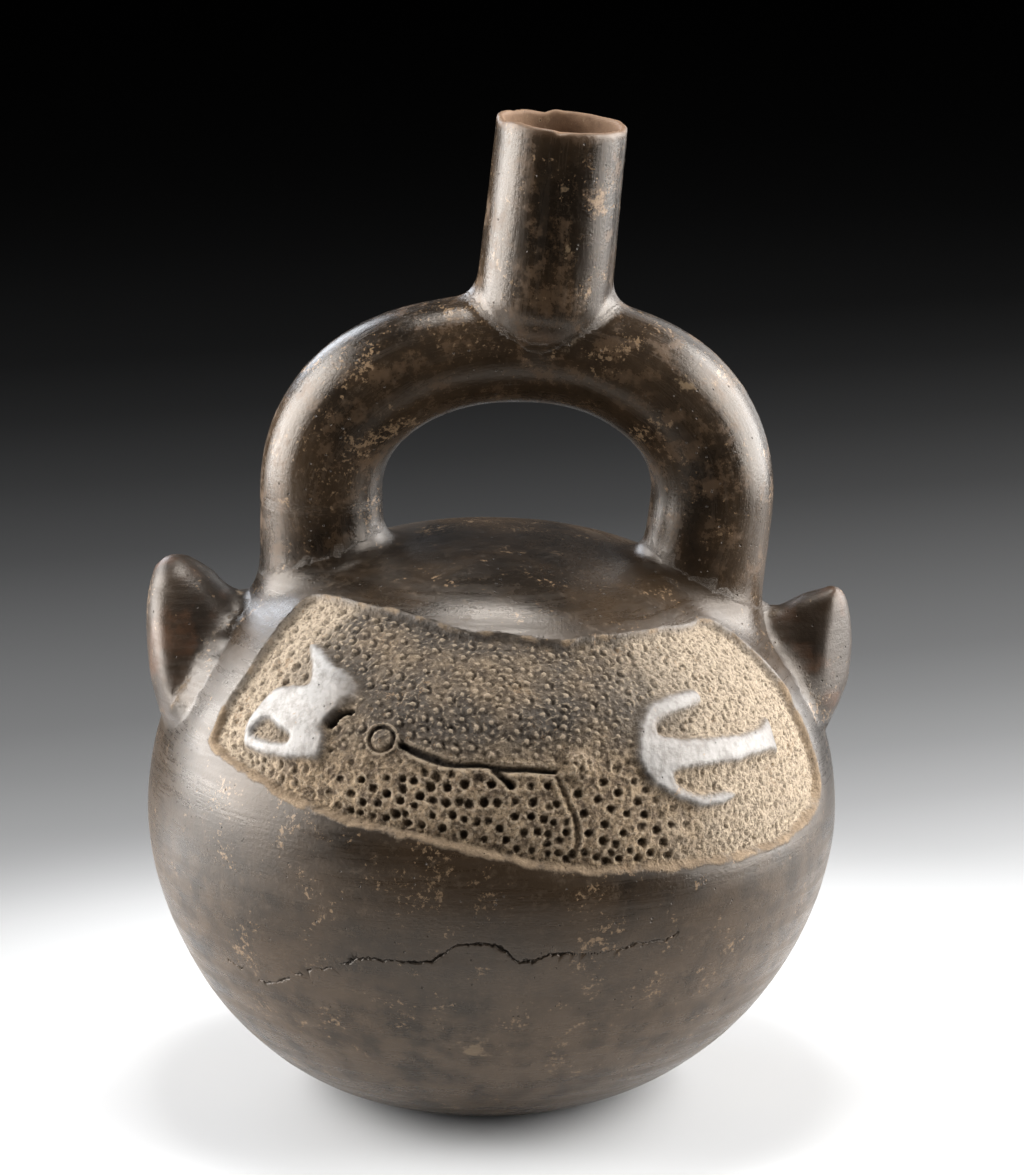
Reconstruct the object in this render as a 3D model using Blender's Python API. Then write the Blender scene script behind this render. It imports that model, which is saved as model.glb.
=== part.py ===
"""Stirrup spout vessel: a hollow jar of burnished blackware with two ears, a punched face panel,
an arched tubular stirrup and one spout. Metres, +Z up, origin at the centre of the flat foot,
the carved face towards -Y."""

import math

import bmesh
import bpy
from mathutils import Matrix, Vector
from mathutils.geometry import delaunay_2d_cdt

MM = 0.001

# The body: a dome over a lower half that tapers to a small flat foot. Both are superellipses.
BODY_RADIUS = 77 * MM
BODY_HEIGHT = 126 * MM
BELLY_HEIGHT = 63 * MM
FOOT_RADIUS = 30 * MM
BELLY_LEAN = 1.6 * MM
DOME_FULLNESS = 2.2
LOWER_TAPER = 1.7
LOWER_FULLNESS = 2.65
BODY_WALL = 5.5 * MM
FLOOR_THICKNESS = 7 * MM
BODY_SIDES = 64
BODY_ROWS = 13

# The stirrup: a tube bent over the dome, standing on it with two legs.
ARCH_CENTRE_X = 7.2 * MM
ARCH_HALF_SPAN = 43.3 * MM
ARCH_SPRING_OVER_DOME = 8.9 * MM
ARCH_RISE = 33 * MM
ARCH_FULLNESS = 2.25
LEG_RADIUS = 13.6 * MM
CROWN_RADIUS = 12 * MM
STIRRUP_WALL = 4.4 * MM
RIGHT_LEG_LEAN = math.radians(6)
LEG_SINK = 8 * MM
STIRRUP_SIDES = 24
ARCH_STEPS = 26
LEG_STEPS = 3
ARCH_SPRING_HEIGHT = BODY_HEIGHT + ARCH_SPRING_OVER_DOME

# The spout: a short tapered pipe, luted to the crown and leaning to the right.
SPOUT_BASE_X = 12 * MM
SPOUT_LEAN = math.radians(5.8)
SPOUT_LENGTH = 51 * MM
SPOUT_BASE_RADIUS = 15.1 * MM
SPOUT_MOUTH_RADIUS = 14.3 * MM
SPOUT_WALL = 3.2 * MM
LIP_THICKNESS = 2 * MM
SPOUT_SIDES = 32

# The ears: solid pinched lugs, each lofted between an outer and an inner edge.
LEFT_EAR_FRONT = 32 * MM
LEFT_EAR_BACK = 12 * MM
RIGHT_EAR_FRONT = 12 * MM
RIGHT_EAR_BACK = 18 * MM
EAR_TIP_REACH = 4.5 * MM
EAR_RIDGE = 0.35
EAR_SIDES = 16
EAR_STEPS = 3

# The face panel: sunk ground, with raised polished figures on it.
PANEL_DEPTH = 1.6 * MM
PANEL_SLOPE = 1.2 * MM
FIGURE_HEIGHT = 0.3 * MM
FIGURE_SLOPE = 0.5 * MM
GROOVE_DEPTH = 1.3 * MM
GROOVE_WIDTH = 1.6 * MM
RING_RADIUS = 3 * MM
KNOB_RADIUS = 4 * MM
PATCH_GRID = 5.5 * MM

# Outlines on the body are (degrees round from the front, share of the body's height).
PANEL_OUTLINE = (
    (-61, 0.925), (-38, 0.937), (-4, 0.922), (28, 0.906), (60, 0.892), (70, 0.85), (74, 0.69),
    (69, 0.56), (46, 0.54), (20, 0.556), (0, 0.595), (-23, 0.635), (-42, 0.675), (-56.5, 0.705),
    (-58, 0.82),
)
EYE_OUTLINE = (
    (-47, 0.885), (-42, 0.88), (-34, 0.865), (-28, 0.84), (-28, 0.82), (-31, 0.79), (-31, 0.73),
    (-39, 0.714), (-49, 0.712), (-50, 0.77), (-47, 0.825), (-41, 0.835),
)
EYE_HOLLOW = ((-47.5, 0.735), (-46, 0.772), (-42, 0.765), (-38.5, 0.745), (-43, 0.733))
COMB_OUTLINE = (
    (29, 0.765), (30.5, 0.8), (36, 0.812), (46, 0.815), (45, 0.795), (37, 0.785), (33, 0.77),
    (34, 0.753), (50, 0.738), (59, 0.738), (60.5, 0.682), (55, 0.697), (42, 0.698), (34, 0.71),
    (33, 0.69), (38, 0.665), (45, 0.655), (45, 0.638), (37, 0.636), (30, 0.672), (28.5, 0.71),
)
MOUTH_LINE = ((-15, 0.762), (-8, 0.746), (0, 0.738), (10, 0.728))
RING_PLACE = (-20, 0.77)
KNOB_PLACE = (16, 0.73)


def clear_scene():
    for thing in list(bpy.data.objects):
        bpy.data.objects.remove(thing)


def fired_clay():
    material = bpy.data.materials.new("burnished blackware")
    material.use_nodes = True
    shader = material.node_tree.nodes["Principled BSDF"]
    shader.inputs["Base Color"].default_value = (0.045, 0.035, 0.027, 1)
    shader.inputs["Roughness"].default_value = 0.38
    shader.inputs["Metallic"].default_value = 0
    return material


def add_object(name, bm, material):
    """Closes the bmesh into a named object, its faces turned outwards."""
    bmesh.ops.remove_doubles(bm, verts=bm.verts, dist=1e-6)
    bmesh.ops.recalc_face_normals(bm, faces=bm.faces)
    mesh = bpy.data.meshes.new(name)
    bm.to_mesh(mesh)
    bm.free()
    mesh.materials.append(material)
    mesh.shade_smooth()
    piece = bpy.data.objects.new(name, mesh)
    bpy.context.scene.collection.objects.link(piece)
    return piece


def as_helper(piece):
    piece.hide_render = True
    piece.display_type = "WIRE"
    return piece


def combine(piece, other, operation):
    modifier = piece.modifiers.new(f"{operation.lower()} {other.name}", "BOOLEAN")
    modifier.operation = operation
    modifier.solver = "EXACT"
    modifier.object = as_helper(other)


def rings_to_mesh(rings, start, end):
    """Joins rings of points into a tube, each end closed on its own point."""
    bm = bmesh.new()
    loops = [[bm.verts.new(point) for point in ring] for ring in rings]
    sides = len(loops[0])
    for low, high in zip(loops, loops[1:]):
        for i in range(sides):
            j = (i + 1) % sides
            bm.faces.new((low[i], low[j], high[j], high[i]))
    for loop, point in ((loops[0], start), (loops[-1], end)):
        centre = bm.verts.new(point)
        for i in range(sides):
            bm.faces.new((loop[i], loop[(i + 1) % sides], centre))
    return bm


def smooth_curve(points, steps, closed=False):
    """A curve through all the points (Catmull-Rom), with so many steps between each two."""
    points = [Vector(point) for point in points]
    count = len(points)
    curve = []
    for i in range(count if closed else count - 1):
        if closed:
            a, b, c, d = (points[(i + k) % count] for k in (-1, 0, 1, 2))
        else:
            a, b, c, d = (points[min(max(i + k, 0), count - 1)] for k in (-1, 0, 1, 2))
        for step in range(steps):
            t = step / steps
            bend = (c - a) * t + (2 * a - 5 * b + 4 * c - d) * t**2
            curve.append(b + 0.5 * (bend + (3 * b - a - 3 * c + d) * t**3))
    return curve if closed else curve + [points[-1]]


# Body surface

def lower_reach():
    """Depth of the whole lower half, of which the foot cuts off the last part."""
    left = 1 - (FOOT_RADIUS / BODY_RADIUS) ** LOWER_FULLNESS
    return BELLY_HEIGHT / left ** (1 / LOWER_TAPER)


def body_radius(z):
    if z < BELLY_HEIGHT:
        share = (BELLY_HEIGHT - z) / lower_reach()
        taper, fullness = LOWER_TAPER, LOWER_FULLNESS
    else:
        share = (z - BELLY_HEIGHT) / (BODY_HEIGHT - BELLY_HEIGHT)
        taper, fullness = DOME_FULLNESS, DOME_FULLNESS
    return BODY_RADIUS * max(0, 1 - min(share, 1) ** taper) ** (1 / fullness)


def body_centre(z):
    return BELLY_LEAN * (1 - ((z - BELLY_HEIGHT) / BELLY_HEIGHT) ** 2)


def body_point(azimuth, z, radius):
    return Vector((body_centre(z) + radius * math.sin(azimuth), -radius * math.cos(azimuth), z))


def on_body(azimuth, z, offset):
    """The point at this place on the body, moved out from the surface by the offset."""
    step = 0.05 * MM
    slope = (body_radius(z + step) - body_radius(z - step)) / (2 * step)
    length = math.hypot(1, slope)
    return body_point(azimuth, z - offset * slope / length, body_radius(z) + offset / length)


def dome_height(reach):
    """Height of the dome at this distance from the body's axis."""
    share = min(reach / BODY_RADIUS, 0.98) ** DOME_FULLNESS
    return BELLY_HEIGHT + (BODY_HEIGHT - BELLY_HEIGHT) * (1 - share) ** (1 / DOME_FULLNESS)


def body_heights():
    """Heights of the rows from the foot to the dome, closer together where the wall turns in."""
    turns = [math.pi / 2 * i / BODY_ROWS for i in range(BODY_ROWS)]
    lower = [BELLY_HEIGHT * (1 - math.cos(turn)) for turn in turns]
    return lower + [BELLY_HEIGHT + (BODY_HEIGHT - BELLY_HEIGHT) * math.sin(turn) for turn in turns]


def turned_body(name, heights, offset, top, bottom, material):
    """A closed turned form that follows the body at an offset, between two points."""
    rings = []
    for z in heights:
        row = [math.tau * i / BODY_SIDES for i in range(BODY_SIDES)]
        rings.append([on_body(azimuth, z, offset) for azimuth in row])
    return add_object(name, rings_to_mesh(rings, bottom, top), material)


def make_body(material):
    heights = body_heights()
    top = Vector((body_centre(BODY_HEIGHT), 0, BODY_HEIGHT))
    return turned_body("vessel", heights, 0, top, Vector((0, 0, 0)), material)


def make_cavity(material):
    lowest = FLOOR_THICKNESS + 1.5 * MM
    heights = [z for z in body_heights()[::2] if on_body(0, z, -BODY_WALL).z > lowest]
    top = Vector((body_centre(BODY_HEIGHT), 0, BODY_HEIGHT - BODY_WALL))
    bottom = Vector((0, 0, FLOOR_THICKNESS))
    return turned_body("body cavity", heights, -BODY_WALL, top, bottom, material)


# Stirrup

def leg_centreline(side):
    """Points up the middle of one leg, from inside the body's wall to where the arch springs."""
    top = ARCH_CENTRE_X + side * ARCH_HALF_SPAN
    end = dome_height(abs(top) + LEG_RADIUS) - LEG_SINK
    lean = math.tan(RIGHT_LEG_LEAN) if side > 0 else 0
    line = []
    for i in range(LEG_STEPS):
        drop = (ARCH_SPRING_HEIGHT - end) * (1 - i / LEG_STEPS)
        line.append((Vector((top - side * lean * drop, 0, ARCH_SPRING_HEIGHT - drop)), LEG_RADIUS))
    return line


def arch_centreline():
    """Points along the middle of the tube from the left leg to the right leg, with tube radii."""
    arch = []
    for i in range(ARCH_STEPS + 1):
        turn = math.pi * i / ARCH_STEPS
        across = abs(math.cos(turn)) ** (2 / ARCH_FULLNESS)
        x = ARCH_CENTRE_X - ARCH_HALF_SPAN * math.copysign(across, math.cos(turn))
        z = ARCH_SPRING_HEIGHT + ARCH_RISE * max(0, math.sin(turn)) ** (2 / ARCH_FULLNESS)
        radius = LEG_RADIUS + (CROWN_RADIUS - LEG_RADIUS) * math.sin(turn) ** 6
        arch.append((Vector((x, 0, z)), radius))
    return leg_centreline(-1) + arch + leg_centreline(1)[::-1]


def make_tube(name, wall, sides, material):
    """The stirrup's tube, or its bore when a wall is taken off the radius."""
    line = arch_centreline()
    rings = []
    for i, (centre, radius) in enumerate(line):
        before = line[max(i - 1, 0)][0]
        after = line[min(i + 1, len(line) - 1)][0]
        along = (after - before).normalized()
        across = Vector((-along.z, 0, along.x))
        depth = Vector((0, 1, 0))
        row = [math.tau * k / sides for k in range(sides)]
        reach = radius - wall
        rings.append([centre + reach * (math.cos(a) * across + math.sin(a) * depth) for a in row])
    return add_object(name, rings_to_mesh(rings, line[0][0], line[-1][0]), material)


# Spout

def turned_spout(name, profile, material):
    """Turns a profile of (height above the crown's axis, radius) and leans it to the right."""
    crown = Vector((SPOUT_BASE_X, 0, ARCH_SPRING_HEIGHT + ARCH_RISE))
    lean = Matrix.Translation(crown) @ Matrix.Rotation(SPOUT_LEAN, 4, "Y")
    rings = []
    for height, radius in profile:
        row = [math.tau * k / SPOUT_SIDES for k in range(SPOUT_SIDES)]
        rings.append([lean @ Vector((radius * math.cos(a), radius * math.sin(a), height)) for a in row])
    start = lean @ Vector((0, 0, profile[0][0]))
    end = lean @ Vector((0, 0, profile[-1][0]))
    return add_object(name, rings_to_mesh(rings, start, end), material)


def make_spout(material):
    """The pipe, drawn in below so that its foot laps over the crown as a rounded tongue."""
    lip = LIP_THICKNESS / 2
    foot = 0.5 * CROWN_RADIUS
    profile = [
        (-foot, 0.6 * CROWN_RADIUS),
        (0, CROWN_RADIUS - 0.1 * MM),
        (foot, 0.94 * SPOUT_BASE_RADIUS),
        (CROWN_RADIUS, SPOUT_BASE_RADIUS),
        ((CROWN_RADIUS + SPOUT_LENGTH) / 2, (SPOUT_BASE_RADIUS + SPOUT_MOUTH_RADIUS) / 2 - 0.2 * MM),
        (SPOUT_LENGTH - lip, SPOUT_MOUTH_RADIUS),
        (SPOUT_LENGTH, SPOUT_MOUTH_RADIUS - lip),
    ]
    return turned_spout("spout", profile, material)


def make_spout_bore(material):
    """The pipe's bore, which narrows to the hole punched through the crown."""
    hole = CROWN_RADIUS - STIRRUP_WALL - 0.6 * MM
    past_lip = SPOUT_LENGTH + 2 * MM
    profile = [
        (0, hole),
        (CROWN_RADIUS - STIRRUP_WALL, hole),
        (CROWN_RADIUS + STIRRUP_WALL, SPOUT_BASE_RADIUS - SPOUT_WALL),
        (SPOUT_LENGTH - SPOUT_BASE_RADIUS / 2, SPOUT_MOUTH_RADIUS - SPOUT_WALL),
        (SPOUT_LENGTH, SPOUT_MOUTH_RADIUS - LIP_THICKNESS),
        (past_lip, SPOUT_MOUTH_RADIUS - LIP_THICKNESS),
    ]
    return turned_spout("spout bore", profile, material)


# Ears

def ear_edges(side):
    """Outer and inner edge of one ear as (share of the body's radius, share of its height)."""
    if side < 0:
        outer = ((0.86, 0.6), (0.955, 0.71), (0.985, 0.81), (0.984, 0.9), (0.955, 0.948))
        inner = ((0.5, 0.79), (0.66, 0.868), (0.74, 0.908), (0.815, 0.945), (0.88, 0.962))
    else:
        outer = ((0.88, 0.55), (1.02, 0.66), (1.08, 0.755), (1.089, 0.84), (1.06, 0.893))
        inner = ((0.66, 0.78), (0.81, 0.848), (0.895, 0.872), (0.96, 0.892), (1.01, 0.904))
    for edge in (outer, inner):
        yield [Vector((side * BODY_RADIUS * x, 0, BODY_HEIGHT * z)) for x, z in edge]


def make_ear(name, side, front_reach, back_reach, material):
    outer, inner = (smooth_curve(edge, EAR_STEPS) for edge in ear_edges(side))
    last = len(outer) - 1
    rings = []
    for i, (out, into) in enumerate(zip(outer, inner)):
        left_over = (1 - i / last) ** 1.2
        front = EAR_TIP_REACH + (front_reach - EAR_TIP_REACH) * left_over
        back = EAR_TIP_REACH + (back_reach - EAR_TIP_REACH) * left_over
        middle, reach = (out + into) / 2, (out - into) / 2
        ring = []
        for k in range(EAR_SIDES):
            turn = math.tau * k / EAR_SIDES
            ahead = math.sin(turn)
            across = math.cos(turn) + EAR_RIDGE * max(0, ahead) ** 2
            depth = -ahead * (front if ahead > 0 else back)
            ring.append(middle + reach * across + Vector((0, depth, 0)))
        rings.append(ring)
    tip = (outer[-1] + inner[-1]) / 2 + Vector((0, 0, EAR_TIP_REACH / 4))
    start = (outer[0] + inner[0]) / 2
    return add_object(name, rings_to_mesh(rings, start, tip), material)


# Carving on the face

def grown(outline, distance):
    """A flat outline moved outwards by a distance, inwards where it is less than nothing."""
    count = len(outline)
    area = sum(outline[i].cross(outline[(i + 1) % count]) for i in range(count))
    turn = 1 if area > 0 else -1
    result = []
    for i in range(count):
        along = (outline[(i + 1) % count] - outline[i - 1]).normalized()
        result.append(outline[i] + distance * turn * Vector((along.y, -along.x)))
    return result


def flatten(outline):
    """Places on the body as flat lengths: round the belly, and up."""
    return [Vector((math.radians(a) * BODY_RADIUS, share * BODY_HEIGHT)) for a, share in outline]


def grid_inside(outline):
    """Grid points that lie well inside a flat outline, so that a patch can follow the curve."""
    count = len(outline)
    xs = [point.x for point in outline]
    ys = [point.y for point in outline]
    found = []
    for i in range(1 + int((max(xs) - min(xs)) / PATCH_GRID)):
        for j in range(1 + int((max(ys) - min(ys)) / PATCH_GRID)):
            point = Vector((min(xs) + (i + 0.5) * PATCH_GRID, min(ys) + (j + 0.5) * PATCH_GRID))
            inside = False
            nearest = PATCH_GRID
            for k in range(count):
                a, b = outline[k - 1], outline[k]
                if (a.y > point.y) != (b.y > point.y):
                    crossing = a.x + (point.y - a.y) * (b.x - a.x) / (b.y - a.y)
                    inside ^= point.x < crossing
                nearest = min(nearest, (point - a).length)
            if inside and nearest > 0.45 * PATCH_GRID:
                found.append(point)
    return found


def carved_patch(name, outline, low, high, flare, material):
    """A closed block between two offsets from the body, wider at its outer face by the flare."""
    inner = grid_inside(outline)
    count = len(outline)
    edges = [(i, (i + 1) % count) for i in range(count)]
    flat, _, faces = delaunay_2d_cdt(outline + inner, edges, [], 1, 1e-7)[:3]
    top = grown(flat[:count], flare) + flat[count:]
    bm = bmesh.new()
    layers = []
    for points, offset in ((flat, low), (top, high)):
        places = [on_body(p.x / BODY_RADIUS, min(p.y, 0.985 * BODY_HEIGHT), offset) for p in points]
        layers.append([bm.verts.new(place) for place in places])
    for face in faces:
        bm.faces.new([layers[0][i] for i in face])
        bm.faces.new([layers[1][i] for i in reversed(face)])
    for i in range(count):
        j = (i + 1) % count
        bm.faces.new((layers[0][i], layers[0][j], layers[1][j], layers[1][i]))
    return add_object(name, bm, material)


def stroke(line, width):
    """The flat outline of a line drawn with a pointed tool, thin at both ends."""
    last = len(line) - 1
    upper, lower = [], []
    for i, point in enumerate(line):
        along = (line[min(i + 1, last)] - line[max(i - 1, 0)]).normalized()
        half = width / 2 * (0.45 + 0.55 * math.sin(math.pi * (i + 0.5) / (last + 1)))
        side = half * Vector((-along.y, along.x))
        upper.append(point + side)
        lower.append(point - side)
    return lower + upper[::-1]


def disc(place, radius, sides):
    centre = flatten([place])[0]
    row = [math.tau * k / sides for k in range(sides)]
    return [centre + radius * Vector((math.cos(a), math.sin(a))) for a in row]


def carve_face(vessel, material):
    above = 4 * MM
    ground = -PANEL_DEPTH
    root = ground - 1.2 * MM
    panel = smooth_curve(flatten(PANEL_OUTLINE), 4, closed=True)
    slope = PANEL_SLOPE * (above + PANEL_DEPTH) / PANEL_DEPTH
    block = carved_patch("sunk panel", panel, ground, above, slope, material)
    combine(vessel, block, "DIFFERENCE")
    figures = (
        ("left eye figure", smooth_curve(flatten(EYE_OUTLINE), 2, closed=True), FIGURE_HEIGHT),
        ("right comb figure", smooth_curve(flatten(COMB_OUTLINE), 2, closed=True), FIGURE_HEIGHT),
        ("stamped ring", disc(RING_PLACE, RING_RADIUS, 14), ground + 0.8 * MM),
        ("knob", disc(KNOB_PLACE, KNOB_RADIUS, 14), ground + 1.8 * MM),
    )
    for name, outline, height in figures:
        combine(vessel, carved_patch(name, outline, root, height, -FIGURE_SLOPE, material), "UNION")
    mouth = stroke(smooth_curve(flatten(MOUTH_LINE), 4), GROOVE_WIDTH)
    cuts = (
        ("hollow in the eye", flatten(EYE_HOLLOW), ground),
        ("mouth groove", mouth, ground - GROOVE_DEPTH),
    )
    for name, outline, depth in cuts:
        combine(vessel, carved_patch(name, outline, depth, above, 0.3 * MM, material), "DIFFERENCE")


def build_vessel():
    clear_scene()
    clay = fired_clay()
    vessel = make_body(clay)
    carve_face(vessel, clay)
    combine(vessel, make_tube("stirrup", 0, STIRRUP_SIDES, clay), "UNION")
    combine(vessel, make_spout(clay), "UNION")
    left_ear = make_ear("left ear", -1, LEFT_EAR_FRONT, LEFT_EAR_BACK, clay)
    right_ear = make_ear("right ear", 1, RIGHT_EAR_FRONT, RIGHT_EAR_BACK, clay)
    combine(vessel, left_ear, "UNION")
    combine(vessel, right_ear, "UNION")
    combine(vessel, make_cavity(clay), "DIFFERENCE")
    combine(vessel, make_tube("stirrup bore", STIRRUP_WALL, STIRRUP_SIDES // 2, clay), "DIFFERENCE")
    combine(vessel, make_spout_bore(clay), "DIFFERENCE")


build_vessel()
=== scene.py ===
# %% [markdown]
# # A burnished stirrup spout vessel
#
# The real vessel is one piece of hand-built clay: a round hollow jar, a tube bent over it as a
# stirrup, a spout luted to the tube's crown, and two solid ears. The potter rubbed the leather-hard
# clay with a pebble until it shone, sank a panel into the front and punched it full of small marks,
# and fired it in smoke, which turned it dark brown and black. This lesson dresses the plain solid
# from the frame with that form, skin and dirt.

# %% Load the plain solid
import math

import bmesh
import bpy
import numpy as np
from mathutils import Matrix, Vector, kdtree, noise


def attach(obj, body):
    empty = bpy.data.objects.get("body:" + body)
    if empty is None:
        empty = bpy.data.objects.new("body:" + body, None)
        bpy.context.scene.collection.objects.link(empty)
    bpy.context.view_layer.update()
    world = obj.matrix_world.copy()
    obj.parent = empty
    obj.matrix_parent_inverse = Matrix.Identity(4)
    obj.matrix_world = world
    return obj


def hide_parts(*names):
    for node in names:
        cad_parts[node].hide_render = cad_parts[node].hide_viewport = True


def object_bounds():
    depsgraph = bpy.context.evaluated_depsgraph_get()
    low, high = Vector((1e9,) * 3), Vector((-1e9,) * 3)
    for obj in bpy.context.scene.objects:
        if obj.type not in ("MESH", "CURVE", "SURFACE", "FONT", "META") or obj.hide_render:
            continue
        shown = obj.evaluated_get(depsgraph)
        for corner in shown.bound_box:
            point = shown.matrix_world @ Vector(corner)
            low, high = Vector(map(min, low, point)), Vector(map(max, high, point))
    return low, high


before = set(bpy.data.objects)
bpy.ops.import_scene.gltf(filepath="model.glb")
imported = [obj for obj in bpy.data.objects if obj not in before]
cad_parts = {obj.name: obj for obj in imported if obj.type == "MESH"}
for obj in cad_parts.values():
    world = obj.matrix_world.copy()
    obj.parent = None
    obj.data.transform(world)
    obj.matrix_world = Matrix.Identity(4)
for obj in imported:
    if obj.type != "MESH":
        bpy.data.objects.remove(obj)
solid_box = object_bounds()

MM = 0.001

# %% [markdown]
# ## The form as numbers
#
# A lathe or a mesh primitive would give each part by itself, with a hard line where they meet. Clay
# is smeared across its joins, so here each part is a distance field instead: a function that says
# how far a point is outside the part, and which way out is. Fields can be blended, and the blend is
# the smeared fillet. All fields below work in millimetres on arrays of points.

# %% Sizes of the clay form, in millimetres
BELLY_RADIUS = 77.0
BELLY_HEIGHT = 63.0
DOME_TOP = 126.0
FOOT_RADIUS = 30.0
BELLY_LEAN = 1.6
DOME_FULLNESS = 2.2
LOWER_TAPER = 1.7
LOWER_FULLNESS = 2.65
LOWER_REACH = BELLY_HEIGHT / (1 - (FOOT_RADIUS / BELLY_RADIUS) ** LOWER_FULLNESS) ** (1 / LOWER_TAPER)

ARCH_CENTRE_X = 7.2
ARCH_HALF_SPAN = 43.3
ARCH_SPRING = 134.9
ARCH_RISE = 33.0
ARCH_FULLNESS = 2.25
LEG_RADIUS = 13.6
CROWN_RADIUS = 12.0
LEG_DROP = 45.0
RIGHT_LEG_SLOPE = math.tan(math.radians(6))

SPOUT_X = 12.0
SPOUT_LEAN = math.radians(5.8)
SPOUT_LENGTH = 51.0
SPOUT_BASE_RADIUS = 15.1
SPOUT_MOUTH_RADIUS = 14.3
INSIDE_BOTH, INSIDE_EITHER = 1, -1
print("belly:", 2 * BELLY_RADIUS, "mm across, crown of the stirrup at", ARCH_SPRING + ARCH_RISE, "mm")


# %% Curves of numbers, and directions
def smooth_step(low, high, value):
    share = ((value - low) / (high - low)).clip(0, 1)
    return share * share * (3 - 2 * share)


def fade(low, high, value):
    return 1 - smooth_step(low, high, value)


def bell(value, width, power=2):
    """One at zero, falling off on both sides over this width."""
    return np.exp(-((value / width) ** power))


def round_the_turn(turn, middle):
    """How far a turn is from a middle one, the short way round."""
    return (turn - middle + math.pi) % math.tau - math.pi


def facing(azimuth, rise):
    """The direction that lies this many degrees round from the front, and up."""
    turn, up = math.radians(azimuth), math.radians(rise)
    return np.array([math.sin(turn) * math.cos(up), -math.cos(turn) * math.cos(up), math.sin(up)])


print("a smooth step, a quarter of the way:", smooth_step(0, 4, np.array(1.0)))


# %% The round body
def belly_centre(z):
    """How far the body's axis is pushed to the right at each height."""
    return BELLY_LEAN * (1 - ((z - BELLY_HEIGHT) / BELLY_HEIGHT) ** 2)


def belly_curve(z):
    """How far from belly to end each height is, with the powers, length and side of that end."""
    upper = z >= BELLY_HEIGHT
    taper = np.where(upper, DOME_FULLNESS, LOWER_TAPER)
    fullness = np.where(upper, DOME_FULLNESS, LOWER_FULLNESS)
    length = np.where(upper, DOME_TOP - BELLY_HEIGHT, LOWER_REACH)
    return np.abs(z - BELLY_HEIGHT) / length, taper, fullness, length, np.where(upper, 1, -1)


def belly_radius(z):
    """The body's radius at each height."""
    rise, taper, fullness, _, _ = belly_curve(z)
    return BELLY_RADIUS * (1 - rise.clip(0, 1) ** taper) ** (1 / fullness)


def body_field(points):
    """Distance outside the round body, and the way out."""
    x, y = points[:, 0] - belly_centre(points[:, 2]), points[:, 1]
    reach = np.hypot(x, y).clip(1e-3)
    rise, taper, fullness, length, side = belly_curve(points[:, 2])
    rise, out = rise.clip(1e-4), reach / BELLY_RADIUS
    slope_out = fullness / BELLY_RADIUS * out ** (fullness - 1)
    slope_up = taper / length * rise ** (taper - 1) * side
    steepness = np.hypot(slope_out, slope_up).clip(4e-3)
    way = np.stack([slope_out * x / reach, slope_out * y / reach, slope_up], 1) / steepness[:, None]
    return (out**fullness + rise**taper - 1) / steepness, way


print("dome radius at 100 mm:", round(float(belly_radius(100.0)), 1), "mm")


# %% The stirrup
def arch_line():
    """Points down the middle of the stirrup's tube, with the tube's radius at each."""
    turn = np.linspace(0, math.pi, 121)
    across = np.abs(np.cos(turn)) ** (2 / ARCH_FULLNESS) * np.sign(np.cos(turn))
    x = ARCH_CENTRE_X - ARCH_HALF_SPAN * across
    z = ARCH_SPRING + ARCH_RISE * np.sin(turn).clip(0) ** (2 / ARCH_FULLNESS)
    radius = LEG_RADIUS + (CROWN_RADIUS - LEG_RADIUS) * np.sin(turn) ** 6
    start = [[x[0], ARCH_SPRING - LEG_DROP, LEG_RADIUS]]
    end = [[x[-1] - RIGHT_LEG_SLOPE * LEG_DROP, ARCH_SPRING - LEG_DROP, LEG_RADIUS]]
    return np.vstack([start, np.stack([x, z, radius], 1), end])


ARCH_LINE = arch_line()


def stirrup_field(points):
    """Distance outside the stirrup's tube, and the way out."""
    distance = np.full(len(points), 1e3)
    way = np.tile([0.0, 0.0, 1.0], (len(points), 1))
    near = np.flatnonzero((points[:, 2] > 85) & (np.abs(points[:, 1]) < 40))
    start, step = ARCH_LINE[:-1], np.diff(ARCH_LINE, axis=0)
    length = (step[:, :2] ** 2).sum(1)
    for part in np.array_split(near, max(1, len(near) // 20000)):
        p = points[part][:, None, :]
        x, z = p[..., 0] - start[:, 0], p[..., 2] - start[:, 1]
        share = ((x * step[:, 0] + z * step[:, 1]) / length).clip(0, 1)
        dx, dz = x - share * step[:, 0], z - share * step[:, 1]
        reach = np.sqrt(dx**2 + dz**2 + p[..., 1] ** 2)
        value = reach - start[:, 2] - share * step[:, 2]
        best = value.argmin(1)
        row = np.arange(len(part))
        reach = reach[row, best].clip(1e-3)
        distance[part] = value[row, best]
        way[part] = np.stack([dx[row, best], p[:, 0, 1], dz[row, best]], 1) / reach[:, None]
    return distance, way


print("points down the stirrup's line:", len(ARCH_LINE))

# %% The spout
SPOUT_UP = np.array([math.sin(SPOUT_LEAN), 0, math.cos(SPOUT_LEAN)])
SPOUT_RIGHT = np.array([math.cos(SPOUT_LEAN), 0, -math.sin(SPOUT_LEAN)])
SPOUT_ROOT = np.array([SPOUT_X, 0, ARCH_SPRING + ARCH_RISE])


def spout_place(points):
    """Points seen from the spout's root: across to the right, depth, and height up the spout."""
    local = points - SPOUT_ROOT
    return local @ SPOUT_RIGHT, local[:, 1], local @ SPOUT_UP


def spout_polar(points):
    """Distance from the spout's axis, height up it, turn round it, and the way straight out of it."""
    across, depth, height = spout_place(points)
    reach = np.hypot(across, depth).clip(1e-3)
    out = (across / reach)[:, None] * SPOUT_RIGHT + (depth / reach)[:, None] * np.array([0, 1.0, 0])
    return reach, height, np.arctan2(depth, across), out


def spout_radius(height):
    taper = SPOUT_BASE_RADIUS + (SPOUT_MOUTH_RADIUS - SPOUT_BASE_RADIUS) * (height / SPOUT_LENGTH)
    foot = 0.03 * (12 - height).clip(0) ** 1.9
    return (taper - foot).clip(2)


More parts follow.
